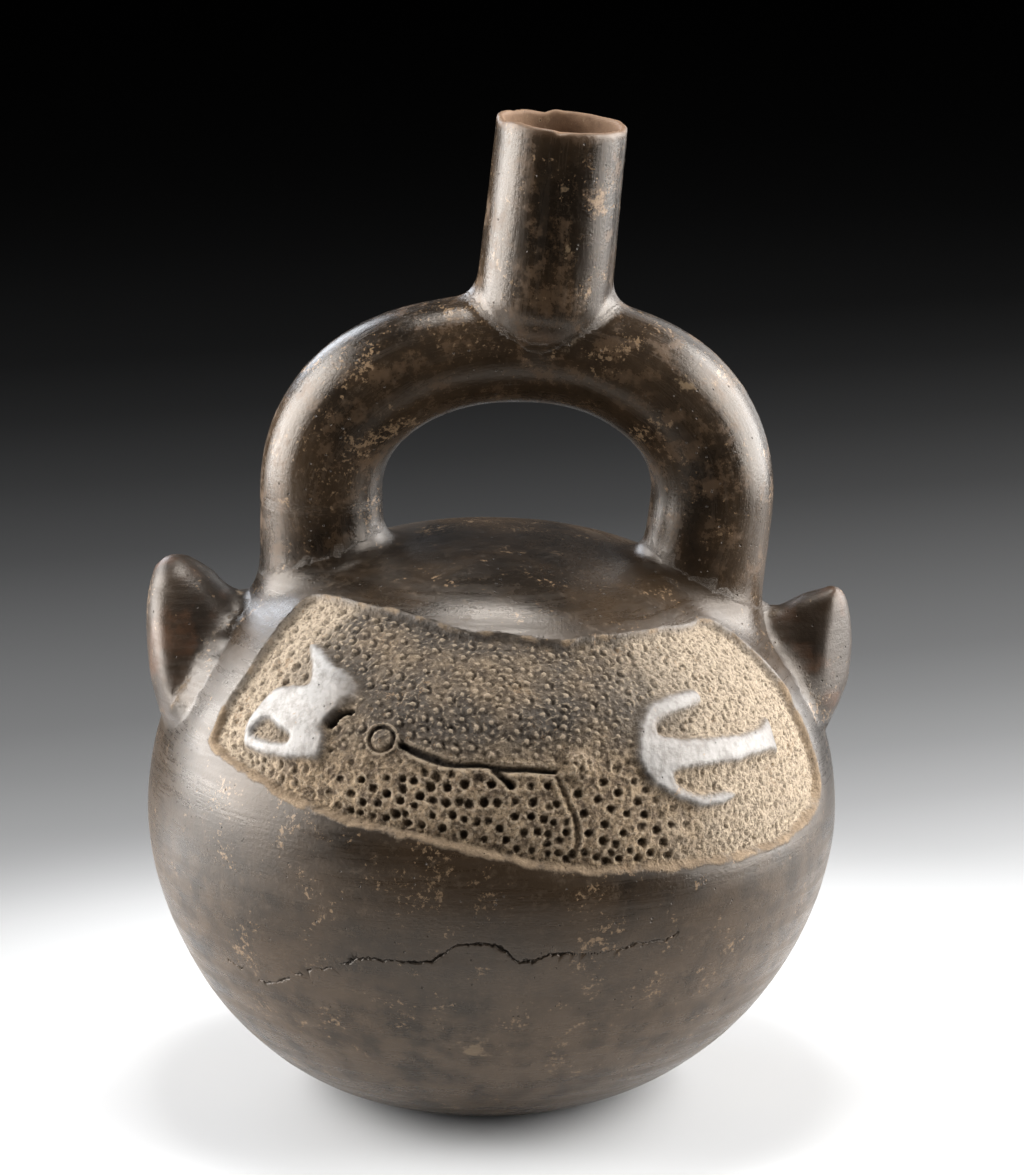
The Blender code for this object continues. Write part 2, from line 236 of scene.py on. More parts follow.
def rim_height(turn):
    """The lip's height round the mouth: worn unevenly, with a chip at the left."""
    uneven = 0.16 * np.sin(2 * turn + 0.6) + 0.08 * np.sin(5 * turn) + 0.05 * np.sin(11 * turn + 2)
    uneven = uneven + 0.05 * np.sin(17 * turn + 1) * np.sin(3 * turn)
    chip = 0.55 * bell(round_the_turn(turn, 3.5), 0.16)
    nick = 0.3 * bell(round_the_turn(turn, 1.9), 0.17, 4)
    return SPOUT_LENGTH - 0.1 + uneven - chip - nick


def spout_field(points):
    """Distance outside the spout's pipe, and the way out."""
    reach, height, turn, out = spout_polar(points)
    pinch = 1.1 * bell(height - 5, 3.2) * np.sin(turn) ** 4
    side = np.where(height > -7, reach - spout_radius(height) + pinch, 1e3)
    return blend((side, out), (height - rim_height(turn), SPOUT_UP), 1.3, INSIDE_BOTH)


BORE_HEIGHTS = (0, 7.6, 16.4, 40, 51, 60)
BORE_RADII = (7, 7, 11.8, 11.6, 12.75, 13.0)


def bore_radius(height):
    return np.interp(height, BORE_HEIGHTS, BORE_RADII)


def bore_field(points):
    """Distance outside the air in the spout's bore, turned round so that clay is inside."""
    reach, height, _, out = spout_polar(points)
    return np.where(height > 2, bore_radius(height) - reach, -1e3), -out


def lip_field(points):
    """Distance outside the thin wall at the mouth, measured from the middle of the wall."""
    reach, height, turn, out = spout_polar(points)
    outer, inner = spout_radius(height), bore_radius(height)
    half = 0.5 * (outer - inner)
    sideways = reach - 0.5 * (outer + inner)
    above = (height - (rim_height(turn) - half)).clip(0)
    length = np.hypot(sideways, above).clip(1e-3)
    return length - half, (sideways[:, None] * out + above[:, None] * SPOUT_UP) / length[:, None]


lip_wall = spout_radius(np.array(SPOUT_LENGTH)) - bore_radius(SPOUT_LENGTH)
print("wall at the lip:", round(float(lip_wall), 2), "mm")

# %% The whole form
FOOT_ROUNDING = 1.2
LEG_SMEAR = 7.0
LEAST_SMEAR, MORE_SMEAR, SMEAR_REACH = 1.6, 4.4, 12
BORE_ROUNDING = 0.9


def blend(one, two, reach, kept):
    """Two fields as one, with the edge or angle between them rounded over this reach."""
    (value_one, way_one), (value_two, way_two) = one, two
    share = (0.5 + kept * 0.5 * (value_one - value_two) / reach).clip(0, 1)
    value = value_two + (value_one - value_two) * share + kept * reach * share * (1 - share)
    return value, way_one * share[:, None] + way_two * (1 - share)[:, None]


def vessel_field(points):
    """Distance outside the whole form without its ears, and the way out."""
    foot = -points[:, 2], np.array([0, 0, -1.0])
    body = blend(body_field(points), foot, FOOT_ROUNDING, INSIDE_BOTH)
    smear = LEAST_SMEAR + MORE_SMEAR * np.clip(1 - np.abs(points[:, 1]) / SMEAR_REACH, 0, 1)
    upper = blend(stirrup_field(points), spout_field(points), smear, INSIDE_EITHER)
    whole = blend(upper, body, LEG_SMEAR, INSIDE_EITHER)
    value, way = blend(whole, bore_field(points), BORE_ROUNDING, INSIDE_BOTH)
    lip, lip_way = lip_field(points)
    at_lip = spout_polar(points)[1] > SPOUT_LENGTH - 12
    return np.where(at_lip, lip, value), np.where(at_lip[:, None], lip_way, way)


def part_gaps(points):
    """Distances outside the body, the tube and the pipe, and the height up the spout."""
    from_axis, up_spout, _, _ = spout_polar(points)
    return body_field(points)[0], stirrup_field(points)[0], from_axis - spout_radius(up_spout), up_spout


top_point = (SPOUT_ROOT + SPOUT_LENGTH * SPOUT_UP)[None]
print("gap at the middle of the mouth:", round(float(vessel_field(top_point)[0][0]), 1), "mm")

# %% [markdown]
# ## From plain solid to clay form
#
# The frame's solid is faceted, and its hollow matters only where the mouth shows it. Subdividing it
# would keep the facets. A voxel remesh instead turns the whole solid into small even quads. Each
# point is then relaxed among its neighbours and drawn onto the fields above, so facets go and every
# join gets its fillet. The ears have no formula: their relaxed clay is only lifted a little and
# pressed nearly flat on the sides where the potter pinched them, which makes their hard edges.

# %% Remesh a copy of the solid
VOXEL = 2.4 * MM


def keep_result(piece):
    """Applies the piece's modifiers by putting the evaluated mesh in place of its own."""
    graph = bpy.context.evaluated_depsgraph_get()
    mesh = bpy.data.meshes.new_from_object(piece.evaluated_get(graph))
    piece.modifiers.clear()
    piece.data = mesh


def points_of(mesh):
    flat = np.empty(len(mesh.vertices) * 3)
    mesh.vertices.foreach_get("co", flat)
    return flat.reshape(-1, 3) / MM


def set_points(mesh, points):
    mesh.vertices.foreach_set("co", (points * MM).astype(np.float32).ravel())
    mesh.update()


NARROWED = 0.65
SKIN_REACH = 3.7
HOLLOW_REACH = 3.9


def squeeze_bore(points, narrower):
    """Thickens the thin lip inwards, so that the voxels catch it, or thins it again."""
    reach, height, _, _ = spout_polar(points)
    wide, outer = bore_radius(height), spout_radius(height)
    narrow = wide * NARROWED
    first, last = (wide, narrow) if narrower else (narrow, wide)
    share = ((reach - first) / (outer - first)).clip(0, 1.2)
    moved = last + share * (outer - last)
    axis = SPOUT_ROOT + height[:, None] * SPOUT_UP
    part = smooth_step(5, 12, height)[:, None]
    return points + part * (points - axis) * (moved / reach - 1)[:, None]


vessel = bpy.data.objects.new("burnished_vessel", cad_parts["vessel"].data.copy())
bpy.context.scene.collection.objects.link(vessel)
vessel.data.materials.clear()
set_points(vessel.data, squeeze_bore(points_of(vessel.data), narrower=True))
remesh = vessel.modifiers.new("even quads", "REMESH")
remesh.mode = "VOXEL"
remesh.voxel_size = VOXEL
keep_result(vessel)
set_points(vessel.data, squeeze_bore(points_of(vessel.data), narrower=False))
print("after the remesh:", len(vessel.data.vertices), "points")


# %% Relax points, and draw them onto the form
def edges_of(mesh):
    flat = np.empty(len(mesh.edges) * 2, np.int64)
    mesh.edges.foreach_get("vertices", flat)
    return flat.reshape(-1, 2)


def relax(points, edges, movable, rounds):
    """Moves each point half way to the middle of its neighbours, so many times."""
    ends = np.concatenate([edges, edges[:, ::-1]])
    count = np.bincount(ends[:, 0], minlength=len(points)).clip(1)
    for _ in range(rounds):
        middle = np.stack([np.bincount(ends[:, 0], points[ends[:, 1], k], len(points)) for k in range(3)], 1)
        points = points + 0.5 * movable[:, None] * (middle / count[:, None] - points)
    return points


def draw_onto_form(points, movable, rounds=3):
    """Moves points of the skin onto the fields, fading out on the ears, which stand outside them."""
    for _ in range(rounds):
        gap, way = vessel_field(points)
        hold = np.maximum(fade(0.25, 1.3, gap), points[:, 2] > SPOUT_ROOT[2] + 6)
        points = points - (gap * hold * movable)[:, None] * way
    return points


skin = points_of(vessel.data)
gap, _ = vessel_field(skin)
outside = (gap > -SKIN_REACH).astype(float)
edges = edges_of(vessel.data)
skin = relax(skin, edges, outside, 6)
for _ in range(3):
    skin = draw_onto_form(skin, outside, 1)
    skin = relax(skin, edges, outside, 2)
skin = draw_onto_form(skin, outside)
set_points(vessel.data, skin)
gap, _ = vessel_field(skin)
ear_root = outside * (gap > 0.02) * (np.abs(skin[:, 0]) > 42)
skin = relax(skin, edges, ear_root, 9)
print("outer points:", int(outside.sum()), "of", len(skin))


# %% Lift and pinch the ears
def pinch_flat(points, chosen, azimuth, rise, depth):
    """Presses the side of an ear that faces this way nearly flat, as a thumb does."""
    way = facing(azimuth, rise)
    reach = points @ way
    over = (reach - (reach[chosen].max() - depth)).clip(0) * chosen
    return points - (PRESSED * over)[:, None] * way


PRESSED = 0.85
EAR_LIFT = 2.3
EAR_OUT = 2.5
EAR_SIDE = 50
on_left_ear = (gap > EAR_OUT) & (skin[:, 0] < -EAR_SIDE)
on_right_ear = (gap > EAR_OUT) & (skin[:, 0] > EAR_SIDE)
on_ears = on_left_ear | on_right_ear
skin = pinch_flat(skin, on_left_ear, -2, 30, 3.6)
skin = pinch_flat(skin, on_right_ear, -8, 24, 2.2)
skin = pinch_flat(skin, on_right_ear, 50, 8, 2.4)
skin = relax(skin, edges, on_ears.astype(float), 1)
skin[:, 2] += EAR_LIFT * on_ears * smooth_step(EAR_OUT, 7.0, gap) * smooth_step(90, 108, skin[:, 2])
set_points(vessel.data, skin)
print("points on the ears:", int(on_ears.sum()))

# %% [markdown]
# ## A coarse hollow
#
# The closed hollow is about two fifths of the points, and nobody sees it. Decimate's vertex group
# limits the collapse to those points, so the outer quads stay whole and can still be split evenly.

# %% Thin out the hollow
HOLLOW_KEPT = 0.12

hollow = vessel.vertex_groups.new(name="hollow")
deep = np.flatnonzero(gap < -HOLLOW_REACH)
hollow.add(deep.tolist(), 1.0, "REPLACE")
thin = vessel.modifiers.new("coarse hollow", "DECIMATE")
thin.vertex_group = "hollow"
thin.ratio = 1 - (1 - HOLLOW_KEPT) * len(deep) / len(skin)
keep_result(vessel)
vessel.vertex_groups.clear()
print("points kept:", len(vessel.data.vertices), "of", len(skin))

# %% [markdown]
# ## Where the face panel lies
#
# The potter drew the panel and its figures on the round wall by eye. Here each outline is a list of
# places on the body, as degrees round from the front and height in millimetres, and a smooth curve
# runs through them. A texture could carry the same drawing, but these lines also have to move the
# surface, so they are kept as geometry: the distance from every point of the skin to each line.

# %% Outlines on the body as (degrees round, height)
PANEL = (
    (-61, 117), (-51, 118), (-37, 118), (-26, 118), (-13, 117), (-4, 116), (4, 116), (12, 115),
    (20, 114), (28, 114), (47, 113), (58, 112), (65, 112), (69, 110), (71, 106), (73, 98), (74, 88),
    (74, 76), (72, 72), (68, 70), (59, 68), (46, 68), (33, 69), (20, 70), (9, 72), (0, 75),
    (-11, 78), (-23, 80), (-36, 83), (-42, 85), (-51, 87), (-57.5, 89), (-58, 93), (-57.5, 98),
    (-57, 104), (-58, 109), (-60, 114),
)
EYE = (
    (-46, 111), (-42, 111), (-36, 109), (-31, 108), (-28, 106), (-27, 104), (-29, 103), (-31, 100),
    (-32, 98), (-31, 96), (-31, 92), (-35, 91), (-39, 90), (-48, 90), (-50, 93), (-50, 97),
    (-48, 102), (-44, 104), (-40, 105), (-42, 108),
)
EYE_HOLLOW = ((-48, 93.2), (-46, 97), (-42, 96), (-39, 95), (-40, 93))
COMB = (
    (28, 96), (30, 99.5), (33, 102), (38, 102.7), (44, 103), (46, 102), (45, 100), (38, 99.2),
    (34, 98), (33, 96.3), (37, 94.8), (45, 93.3), (51, 92.5), (57, 92.2), (61, 93.5), (61, 90.5),
    (60, 86), (57, 87), (50, 87.3), (40, 88.3), (34.5, 88.7), (33.5, 87), (35, 84.8), (38, 83),
    (43, 82.3), (46, 81), (43, 80), (38, 80), (34, 82), (30.5, 85), (28, 88), (27, 92),
)
MOUTH = ((-16, 96.2), (-10, 94), (-6, 93), (-1, 93), (3, 92.2), (7, 92), (12, 91.2))
MOUTH_NOTCH = ((1, 92), (2.5, 90.5), (4, 88.8))
EYE_GASH = ((-27.5, 101.5), (-30, 100.4), (-31.2, 98.8))
SCAR = ((12, 90), (13, 86), (14.5, 80), (14, 75))
PRESSED_BAND = ((-34, 110), (-29, 106), (-25, 102.5), (-22.5, 99.5))
CRACK = (
    (-52, 41), (-44, 39), (-41, 39), (-36, 42), (-33, 44), (-26, 47), (-21, 50), (-16, 50),
    (-12, 50), (-9, 51), (-6, 54), (-2, 55), (2, 54), (4, 51), (7, 51), (9, 52), (12, 52),
    (22, 52), (24, 53), (30, 53), (32, 54),
)
RING_PLACE = (-20, 97)
KNOB_PLACE = (16, 92)

print("places:", len(PANEL + EYE + EYE_HOLLOW + COMB + MOUTH + MOUTH_NOTCH + EYE_GASH + SCAR + CRACK))


# %% Lines on the body, and distances to them
def on_body(places):
    """Points on the round body at (degrees, height) places."""
    turn, z = np.radians(places[:, 0]), places[:, 1]
    reach = belly_radius(z)
    return np.stack([belly_centre(z) + reach * np.sin(turn), -reach * np.cos(turn), z], 1)


def place_of(points):
    turn = np.arctan2(points[:, 0] - belly_centre(points[:, 2]), -points[:, 1])
    return np.stack([np.degrees(turn), points[:, 2]], 1)


def curve_through(places, closed=False):
    """A smooth line of (degrees, height) through the places, close enough to measure from."""
    p = np.array(places, float)
    ends = (p[-1:], p[:2]) if closed else (2 * p[:1] - p[1:2], 2 * p[-1:] - p[-2:-1])
    p = np.vstack([ends[0], p, ends[1]])
    t = np.linspace(0, 1, 24, endpoint=False)[:, None]
    pieces = [
        b + 0.5 * t * (c - a + t * (2 * a - 5 * b + 4 * c - d + t * (3 * (b - c) + d - a)))
        for a, b, c, d in zip(p, p[1:], p[2:], p[3:])
    ]
    return np.vstack(pieces)


def nearest(places, points):
    """Which of the places is nearest to each point, and how far away it is."""
    tree = kdtree.KDTree(len(places))
    for i, place in enumerate(places):
        tree.insert(place, i)
    tree.balance()
    found = np.array([tree.find(point)[1:] for point in points]).reshape(-1, 2)
    return found[:, 0].astype(int), found[:, 1]


def distance_to(line, points):
    """How far points of the body are from a line on it."""
    return nearest(on_body(line), points)[1]


def apart(points, place):
    return np.linalg.norm(points - place, axis=1)


def from_curve(places, points):
    """How far points of the body are from the smooth line through some places on it."""
    return distance_to(curve_through(places), points)


def inside(outline, places):
    """Which places lie inside a closed outline."""
    within = np.zeros(len(places), bool)
    for (a, za), (b, zb) in zip(outline, np.roll(outline, -1, axis=0)):
        if za != zb:
            spans = (za > places[:, 1]) != (zb > places[:, 1])
            within ^= spans & (places[:, 0] < (b - a) * (places[:, 1] - za) / (zb - za) + a)
    return within


def depth_inside(outline, points):
    """Distance in from a closed outline: positive inside it, negative outside."""
    away = distance_to(outline, points)
    return np.where(inside(outline, place_of(points)), away, -away)


panel_line = curve_through(PANEL, closed=True)
eye_line = curve_through(EYE, closed=True)
comb_line = curve_through(COMB, closed=True)
crack_line = curve_through(CRACK)
panel_steps = np.diff(on_body(panel_line), axis=0)
print("panel outline:", round(float(apart(panel_steps, 0).sum())), "mm long")

# %% [markdown]
# ## More points where the detail is
#
# Small punched marks need faces of about 0.5 mm, and the plain walls don't. Subdividing the whole
# jar that far would take a million faces. Splitting only the faces in the panel, along the crack, at
# the joins and round the lip spends them where the eye looks.

# %% A way to split chosen faces
def refine(mesh, wanted, cuts):
    """Splits each face whose corners are all wanted."""
    bm = bmesh.new()
    bm.from_mesh(mesh)
    for edge in bm.edges:
        edge.tag = False
    for face in bm.faces:
        if all(wanted[corner.index] for corner in face.verts):
            for edge in face.edges:
                edge.tag = True
    chosen = [edge for edge in bm.edges if edge.tag]
    bmesh.ops.subdivide_edges(bm, edges=chosen, cuts=cuts, use_grid_fill=True)
    bm.to_mesh(mesh)
    bm.free()


print("faces before splitting:", len(vessel.data.polygons))


# %% Measure where the detail is
FINE_REACH = 3.4
PANEL_HEIGHTS = (60, 124)
CRACK_HEIGHTS = (33, 60)
PANEL_MARGIN = 3.3
CRACK_MARGIN = 2.2
LIP_DEPTH = 4


def near_front(points, low, high):
    """Points of the skin in front between two heights."""
    on_wall = np.abs(body_field(points)[0]) < 1.5
    return on_wall & (points[:, 1] < -8) & (points[:, 2] > low) & (points[:, 2] < high)


def where(points, chosen, measure, otherwise):
    """The measure at the chosen points, and a fixed value at the rest."""
    values = np.full(len(points), float(otherwise))
    values[chosen] = measure(points[chosen])
    return values


def panel_depth(points):
    return where(points, near_front(points, *PANEL_HEIGHTS), lambda p: depth_inside(panel_line, p), -99)


def crack_distance(points):
    return where(points, near_front(points, *CRACK_HEIGHTS), lambda p: distance_to(crack_line, p), 99)


skin = points_of(vessel.data)
in_panel, by_crack = panel_depth(skin), crack_distance(skin)
print("points in the panel so far:", int((in_panel > 0).sum()))

# %% Split faces in the panel, by the crack, at the joins and at the lip
refine(vessel.data, (in_panel > -PANEL_MARGIN) | (by_crack < CRACK_MARGIN), 4)
skin = points_of(vessel.data)
body_gap, tube_gap, pipe_gap, up_spout = part_gaps(skin)
spout_join = (np.abs(pipe_gap) + np.abs(tube_gap) < 8) & (up_spout > -8)
leg_join = (np.abs(body_gap) + np.abs(tube_gap) < 5) & (np.abs(skin[:, 1]) < 24)
refine(vessel.data, (up_spout > SPOUT_LENGTH - LIP_DEPTH) | spout_join | leg_join, 2)
print("faces after splitting:", len(vessel.data.polygons))

# %% Settle the new points on the form
LIP_SECTORS = 24
LIP_START = SPOUT_LENGTH - 9


def raise_lip(points):
    """Stretches the top of the spout so that its highest points reach the lip all round."""
    _, height, turn, _ = spout_polar(points)
    top = height > LIP_START
    sector = ((turn + math.pi) / math.tau * LIP_SECTORS).astype(int) % LIP_SECTORS
    tallest = np.array([height[top & (sector == k)].max() for k in range(LIP_SECTORS)])
    middles = (np.arange(LIP_SECTORS) + 0.5) / LIP_SECTORS * math.tau - math.pi
    here = np.interp(turn, middles, tallest, period=math.tau)
    share = (height - LIP_START) / (here - LIP_START)
    moved = LIP_START + share * (rim_height(turn) - LIP_START)
    return points + (np.where(top, moved - height, 0))[:, None] * SPOUT_UP


skin = raise_lip(points_of(vessel.data))
gap, _ = vessel_field(skin)
outside = (gap > -FINE_REACH).astype(float)
skin = draw_onto_form(skin, outside)
edges = edges_of(vessel.data)
body_gap, tube_gap, _, up_spout = part_gaps(skin)
joined = (np.abs(tube_gap) < 8) & ((up_spout > -8) | (np.abs(body_gap) < 8)) & (np.abs(skin[:, 1]) < 24)
uneven = outside * ((up_spout > SPOUT_LENGTH - 8) | joined)
for _ in range(6):
    skin = relax(skin, edges, uneven, 2)
    skin = draw_onto_form(raise_lip(skin), uneven, 2)
skin = draw_onto_form(raise_lip(skin), uneven, 3)
set_points(vessel.data, skin)
refine(vessel.data, crack_distance(skin) < 1.0, 2)
skin = points_of(vessel.data)
print("points now:", len(skin), "faces:", len(vessel.data.polygons))

# %% [markdown]
# ## Punched marks
#
# The potter filled the ground with some 500 punches of a reed. Rows of them follow each other by
# eye, so neither a grid nor plain scatter looks right. Starting from a seeded scatter, each mark
# moves to the middle of the ground that is nearest to it. A few rounds leave marks that keep their
# distance but wander, as the real ones do.

# %% Lay out the marks
PUNCH_SPACING = 3.45
PUNCH_RADIUS = 1.15
PUNCH_DEPTH = 1.2
SCATTERED = 90000
KEPT_SPOTS = 14000
dice = np.random.default_rng(11)

trial = np.stack([dice.uniform(-64, 76, SCATTERED), dice.uniform(66, 119, SCATTERED)], 1)
slope = 1 / np.sqrt(np.maximum(1 - ((trial[:, 1] - BELLY_HEIGHT) / 64) ** 2, 0.15))
trial = trial[dice.uniform(0, 2.6, len(trial)) < slope * belly_radius(trial[:, 1]) / BELLY_RADIUS]
spots = on_body(trial)
ring_middle, knob_middle = on_body(np.array([RING_PLACE, KNOB_PLACE], float))
free = depth_inside(panel_line, spots) > 1.1
free &= depth_inside(eye_line, spots) < -0.2
free &= depth_inside(comb_line, spots) < -0.2
free &= from_curve(MOUTH, spots) > 1.3
free &= from_curve(SCAR, spots) > 1.0
free &= from_curve(PRESSED_BAND, spots) > 1.5
free &= apart(spots, ring_middle) > 4.0
free &= apart(spots, knob_middle) > 4.6
spots = spots[free][:KEPT_SPOTS]
ground_area = free.mean() * 140 / 360 * math.tau * 66 * 58
punches = spots[dice.choice(len(spots), int(ground_area / (0.866 * PUNCH_SPACING**2)), replace=False)]
for _ in range(7):
    owner, _ = nearest(punches, spots)
    count = np.bincount(owner, minlength=len(punches)).clip(1)
    punches = np.stack([np.bincount(owner, spots[:, k], len(punches)) for k in range(3)], 1) / count[:, None]
print("punched marks:", len(punches))

# %% [markdown]
# ## Raising and sinking the skin
#
# A displacement modifier needs a texture, and a bump map leaves the outline smooth. The marks here
# are up to 1.6 mm deep and show in the outline and shadows, so each point of the skin is moved out
# or in by its own distance, worked out from the lines and marks above. What the shader later needs
# to know, such as how deep in a mark a point is, is stored beside it as an attribute.

# %% Relief of the panel
GROUND = -1.6
FIGURE_TOP = -0.3

skin = points_of(vessel.data)
gap, way = vessel_field(skin)
outside = (gap > -FINE_REACH).astype(float)
in_panel = panel_depth(skin)


def bumps(points, size, seed=0, octaves=1):
    """Smooth noise, about -1 to 1, with swells about this many millimetres across."""
    shift = Vector((seed * 37.1, seed * 11.7, seed * 5.3))
    return np.array([noise.fractal(Vector(p) / size + shift, 0.8, 2.0, octaves) for p in points])


home = skin.copy()
work = np.flatnonzero(in_panel > -4)
near = skin[work]
rough = bumps(near, 1.1, 1, 3)
swell = bumps(near, 7.0, 2, 2)
edge_in = in_panel[work] + 0.35 * bumps(near, 3.0, 3)
eye_in = depth_inside(eye_line, near) + 0.25 * swell
hollow_in = depth_inside(curve_through(EYE_HOLLOW, closed=True), near)
comb_in = depth_inside(comb_line, near) + 0.25 * swell
mouth = from_curve(MOUTH, near)
notch = from_curve(MOUTH_NOTCH, near)
gash = from_curve(EYE_GASH, near)
scar = from_curve(SCAR, near)
ring = apart(near, ring_middle)
knob = apart(near, knob_middle)

ground = smooth_step(-0.5, 1.0, edge_in)
figure = np.maximum(smooth_step(-0.9, 1.3, eye_in), smooth_step(-0.9, 1.1, comb_in))
figure = figure * fade(-1.0, 1.0, hollow_in)
height = (GROUND + (FIGURE_TOP - GROUND) * figure) * ground
print("points in the panel:", int((ground > 0.5).sum()), "on its figures:", int((figure > 0.5).sum()))

# %% Punch the marks
which, away = nearest(punches, near)
place = place_of(punches)
size = PUNCH_RADIUS * dice.uniform(0.76, 1.06, len(punches))
lower = fade(89, 95, place[:, 1])
middle = smooth_step(-38, -22, place[:, 0]) * fade(26, 44, place[:, 0])
right = smooth_step(30, 48, place[:, 0])
deep = lower * middle
size = size * (1 + 0.35 * bell(place[:, 0] + 3, 9) * bell(place[:, 1] - 89, 3.5))
depth = PUNCH_DEPTH * dice.uniform(0.6, 1.2, len(punches))
bead = dice.uniform(0.3, 0.75, len(punches))
bite = dice.uniform(0.3, 0.65, len(punches))
lean = dice.normal(0, 0.5, len(punches)) + np.where(place[:, 0] > 30, 2.6, 0.6)

offset = near - punches[which]
turn = np.radians(place[which, 0])
across = offset[:, 0] * np.cos(turn) + offset[:, 1] * np.sin(turn)
toward = (across * np.cos(lean[which]) + offset[:, 2] * np.sin(lean[which])) / size[which]
share = away / size[which]
bowl = fade(0.5, 1.05, share)
groove = bell(share - 1.0, 0.32)
bitten = smooth_step(-0.5, 0.9, toward)
hole = -depth[which] * bowl * (1 + 0.3 * toward.clip(-1.2, 1.2))
round_bead = bead[which] * bell(share, 0.62) - bite[which] * groove * (0.15 + 0.85 * bitten)
flat_scale = 0.45 * toward.clip(-1.1, 1.1) * fade(0.75, 1.1, share) - bite[which] * groove * bitten
is_deep, is_right = deep[which], right[which]
shape = is_deep * hole + (1 - is_deep) * ((1 - is_right) * round_bead + is_right * flat_scale)
marked = is_deep * bowl + (1 - is_deep) * 0.75 * groove * bitten
in_ground = ground * (1 - figure)
height = height + shape * smooth_step(0.6, 1.0, in_ground)
height = height + (0.34 * rough + 0.24 * swell) * in_ground + (0.14 * swell + 0.05 * rough) * figure
drawn = 0.35 * bell(from_curve(PRESSED_BAND, near), 1.3)
print("deep holes:", int((deep > 0.5).sum()), "of", len(punches), "marks")

# %% Cut the mouth line, ring, knob, gash and scar
CUT_DEPTH = 1.5

turned = place_of(near)[:, 0]
gash_width = 0.6 + 0.7 * smooth_step(-29, -32, turned)
mouth_width = 0.5 + 0.4 * fade(-9, -4, turned) + 0.25 * swell + 0.15 * rough
cut = bell(mouth, mouth_width, 4) + 0.9 * bell(notch, 0.8, 4) + 1.2 * bell(gash, gash_width, 4)
drawn = drawn - CUT_DEPTH * cut.clip(0, 1) + 0.25 * bell(mouth - 1.6, 0.5)
drawn = drawn + 0.75 * fade(1.2, 3.0, ring) - 0.5 * bell(ring - 2.8, 0.35) + 0.6 * bell(ring - 3.5, 0.4)
drawn = drawn + fade(1.5, 4.6, knob) * (1.6 + 0.5 * rough + 0.4 * swell)
drawn = drawn - 0.9 * bell(apart(near, knob_middle + [-3.6, 0, 0.3]), 1.3)
drawn = drawn - 0.5 * bell(scar, 0.55) + 0.3 * bell(scar - 1.1, 0.5)
height = height + drawn * in_ground
skin[work] = near + height[:, None] * way[work]
print("deepest:", round(float(height.min()), 2), "highest:", round(float(height.max()), 2), "mm")

# %% [markdown]
# ## The crack, the bend round the panel and the hand
#
# A hairline crack runs across the lower wall. It is a narrow V in the mesh, wandering and opening
# in places, so it takes real shadow from any side. The wall falls away a little above and below the
# panel, where the potter's tool pressed it, and it swells very slightly all over, because it was
# shaped by hand and not on a wheel. A bump map would shade these bends but not move the highlights
# as the real wall does.

# %% Open the crack and let the wall wander
CRACK_DEPTH = 0.7
SHOULDER_FALL = 1.1
EDGE_FALL = 0.75

crack_zone = near_front(skin, *CRACK_HEIGHTS)
crack_home = skin[crack_zone]
jagged = 0.6 * bumps(crack_home, 2.6, 4) + 0.55 * bumps(crack_home, 0.9, 7)
crack_gap = distance_to(crack_line, crack_home + jagged[:, None] * np.array([0, 0, 1.0]))
along = place_of(crack_home)[:, 0]
opened = 0.55 + 0.45 * np.sin(along * 0.9) * np.sin(along * 0.37 + 1)
opened = (opened * (1 - smooth_step(12, 16, along) * 0.75)).clip(0)
split = bell(crack_gap, 0.13 + 0.13 * opened) * (0.45 + 0.55 * opened)
skin[crack_zone] = crack_home - CRACK_DEPTH * split[:, None] * way[crack_zone]

wall_near = near_front(home, 56, 126)
off_panel = where(home, wall_near, lambda p: -depth_inside(panel_line, p), 99)
middle_front = bell(place_of(home)[:, 0] - 4, 30)
over = fade(0, 11, off_panel.clip(0)) * smooth_step(103, 112, home[:, 2])
under = (1 - off_panel.clip(0) / 8).clip(0) ** 2 * fade(0, 5, -off_panel) * fade(91, 97, home[:, 2])
skin = skin - (SHOULDER_FALL * over * middle_front + EDGE_FALL * under)[:, None] * way

on_form = outside * fade(1.0, 3.0, gap)
hand = 0.28 * bumps(skin, 26, 5) + 0.09 * bumps(skin, 9, 6)
foot_hold = smooth_step(1.5, 12, skin[:, 2])
lip_hold = fade(SPOUT_LENGTH - 6, SPOUT_LENGTH - 1, spout_place(skin)[2])
skin = skin + (hand * on_form * foot_hold * lip_hold)[:, None] * way
box_low, box_high = np.array(solid_box) / MM
skin = skin.clip(box_low, box_high)
set_points(vessel.data, skin)
vessel.data.shade_smooth()
print("triangles:", sum(len(face.vertices) - 2 for face in vessel.data.polygons))

# %% [markdown]
# ## What the shader needs to know
#
# Dirt settles in the joins, the ground's hollows get dirt and painted shade, its raised points a
# painted highlight, and rubbing strokes follow the form: round the jar, along the stirrup and up
# the spout. A shader can't find these by itself in a way that an exported model keeps. They are
# worked out on the points and stored as attributes, which an Attribute node reads back by name.

# %% Store values on the points
def store(name, values):
    kind = "FLOAT_VECTOR" if values.ndim == 2 else "FLOAT"
    layer = vessel.data.attributes.new(name, kind, "POINT")
    layer.data.foreach_set("vector" if values.ndim == 2 else "value", values.astype(np.float32).ravel())


def spread(chosen, values):
    """Values of some points of the skin, with zero at the rest."""
    whole = np.zeros(len(skin))
    whole[chosen] = values
    return whole


store("ground", spread(work, in_ground))
print("bare ground stored for", int((in_ground > 0.5).sum()), "points")

# %% How hollow each point lies, and how near a join
normals = np.empty(len(skin) * 3, np.float32)
vessel.data.vertex_normals.foreach_get("vector", normals)
normals = normals.reshape(-1, 3)
edges = edges_of(vessel.data)
softened = relax(skin, edges, np.ones(len(skin)), 3)
hollowness = ((softened - skin) * normals).sum(1)

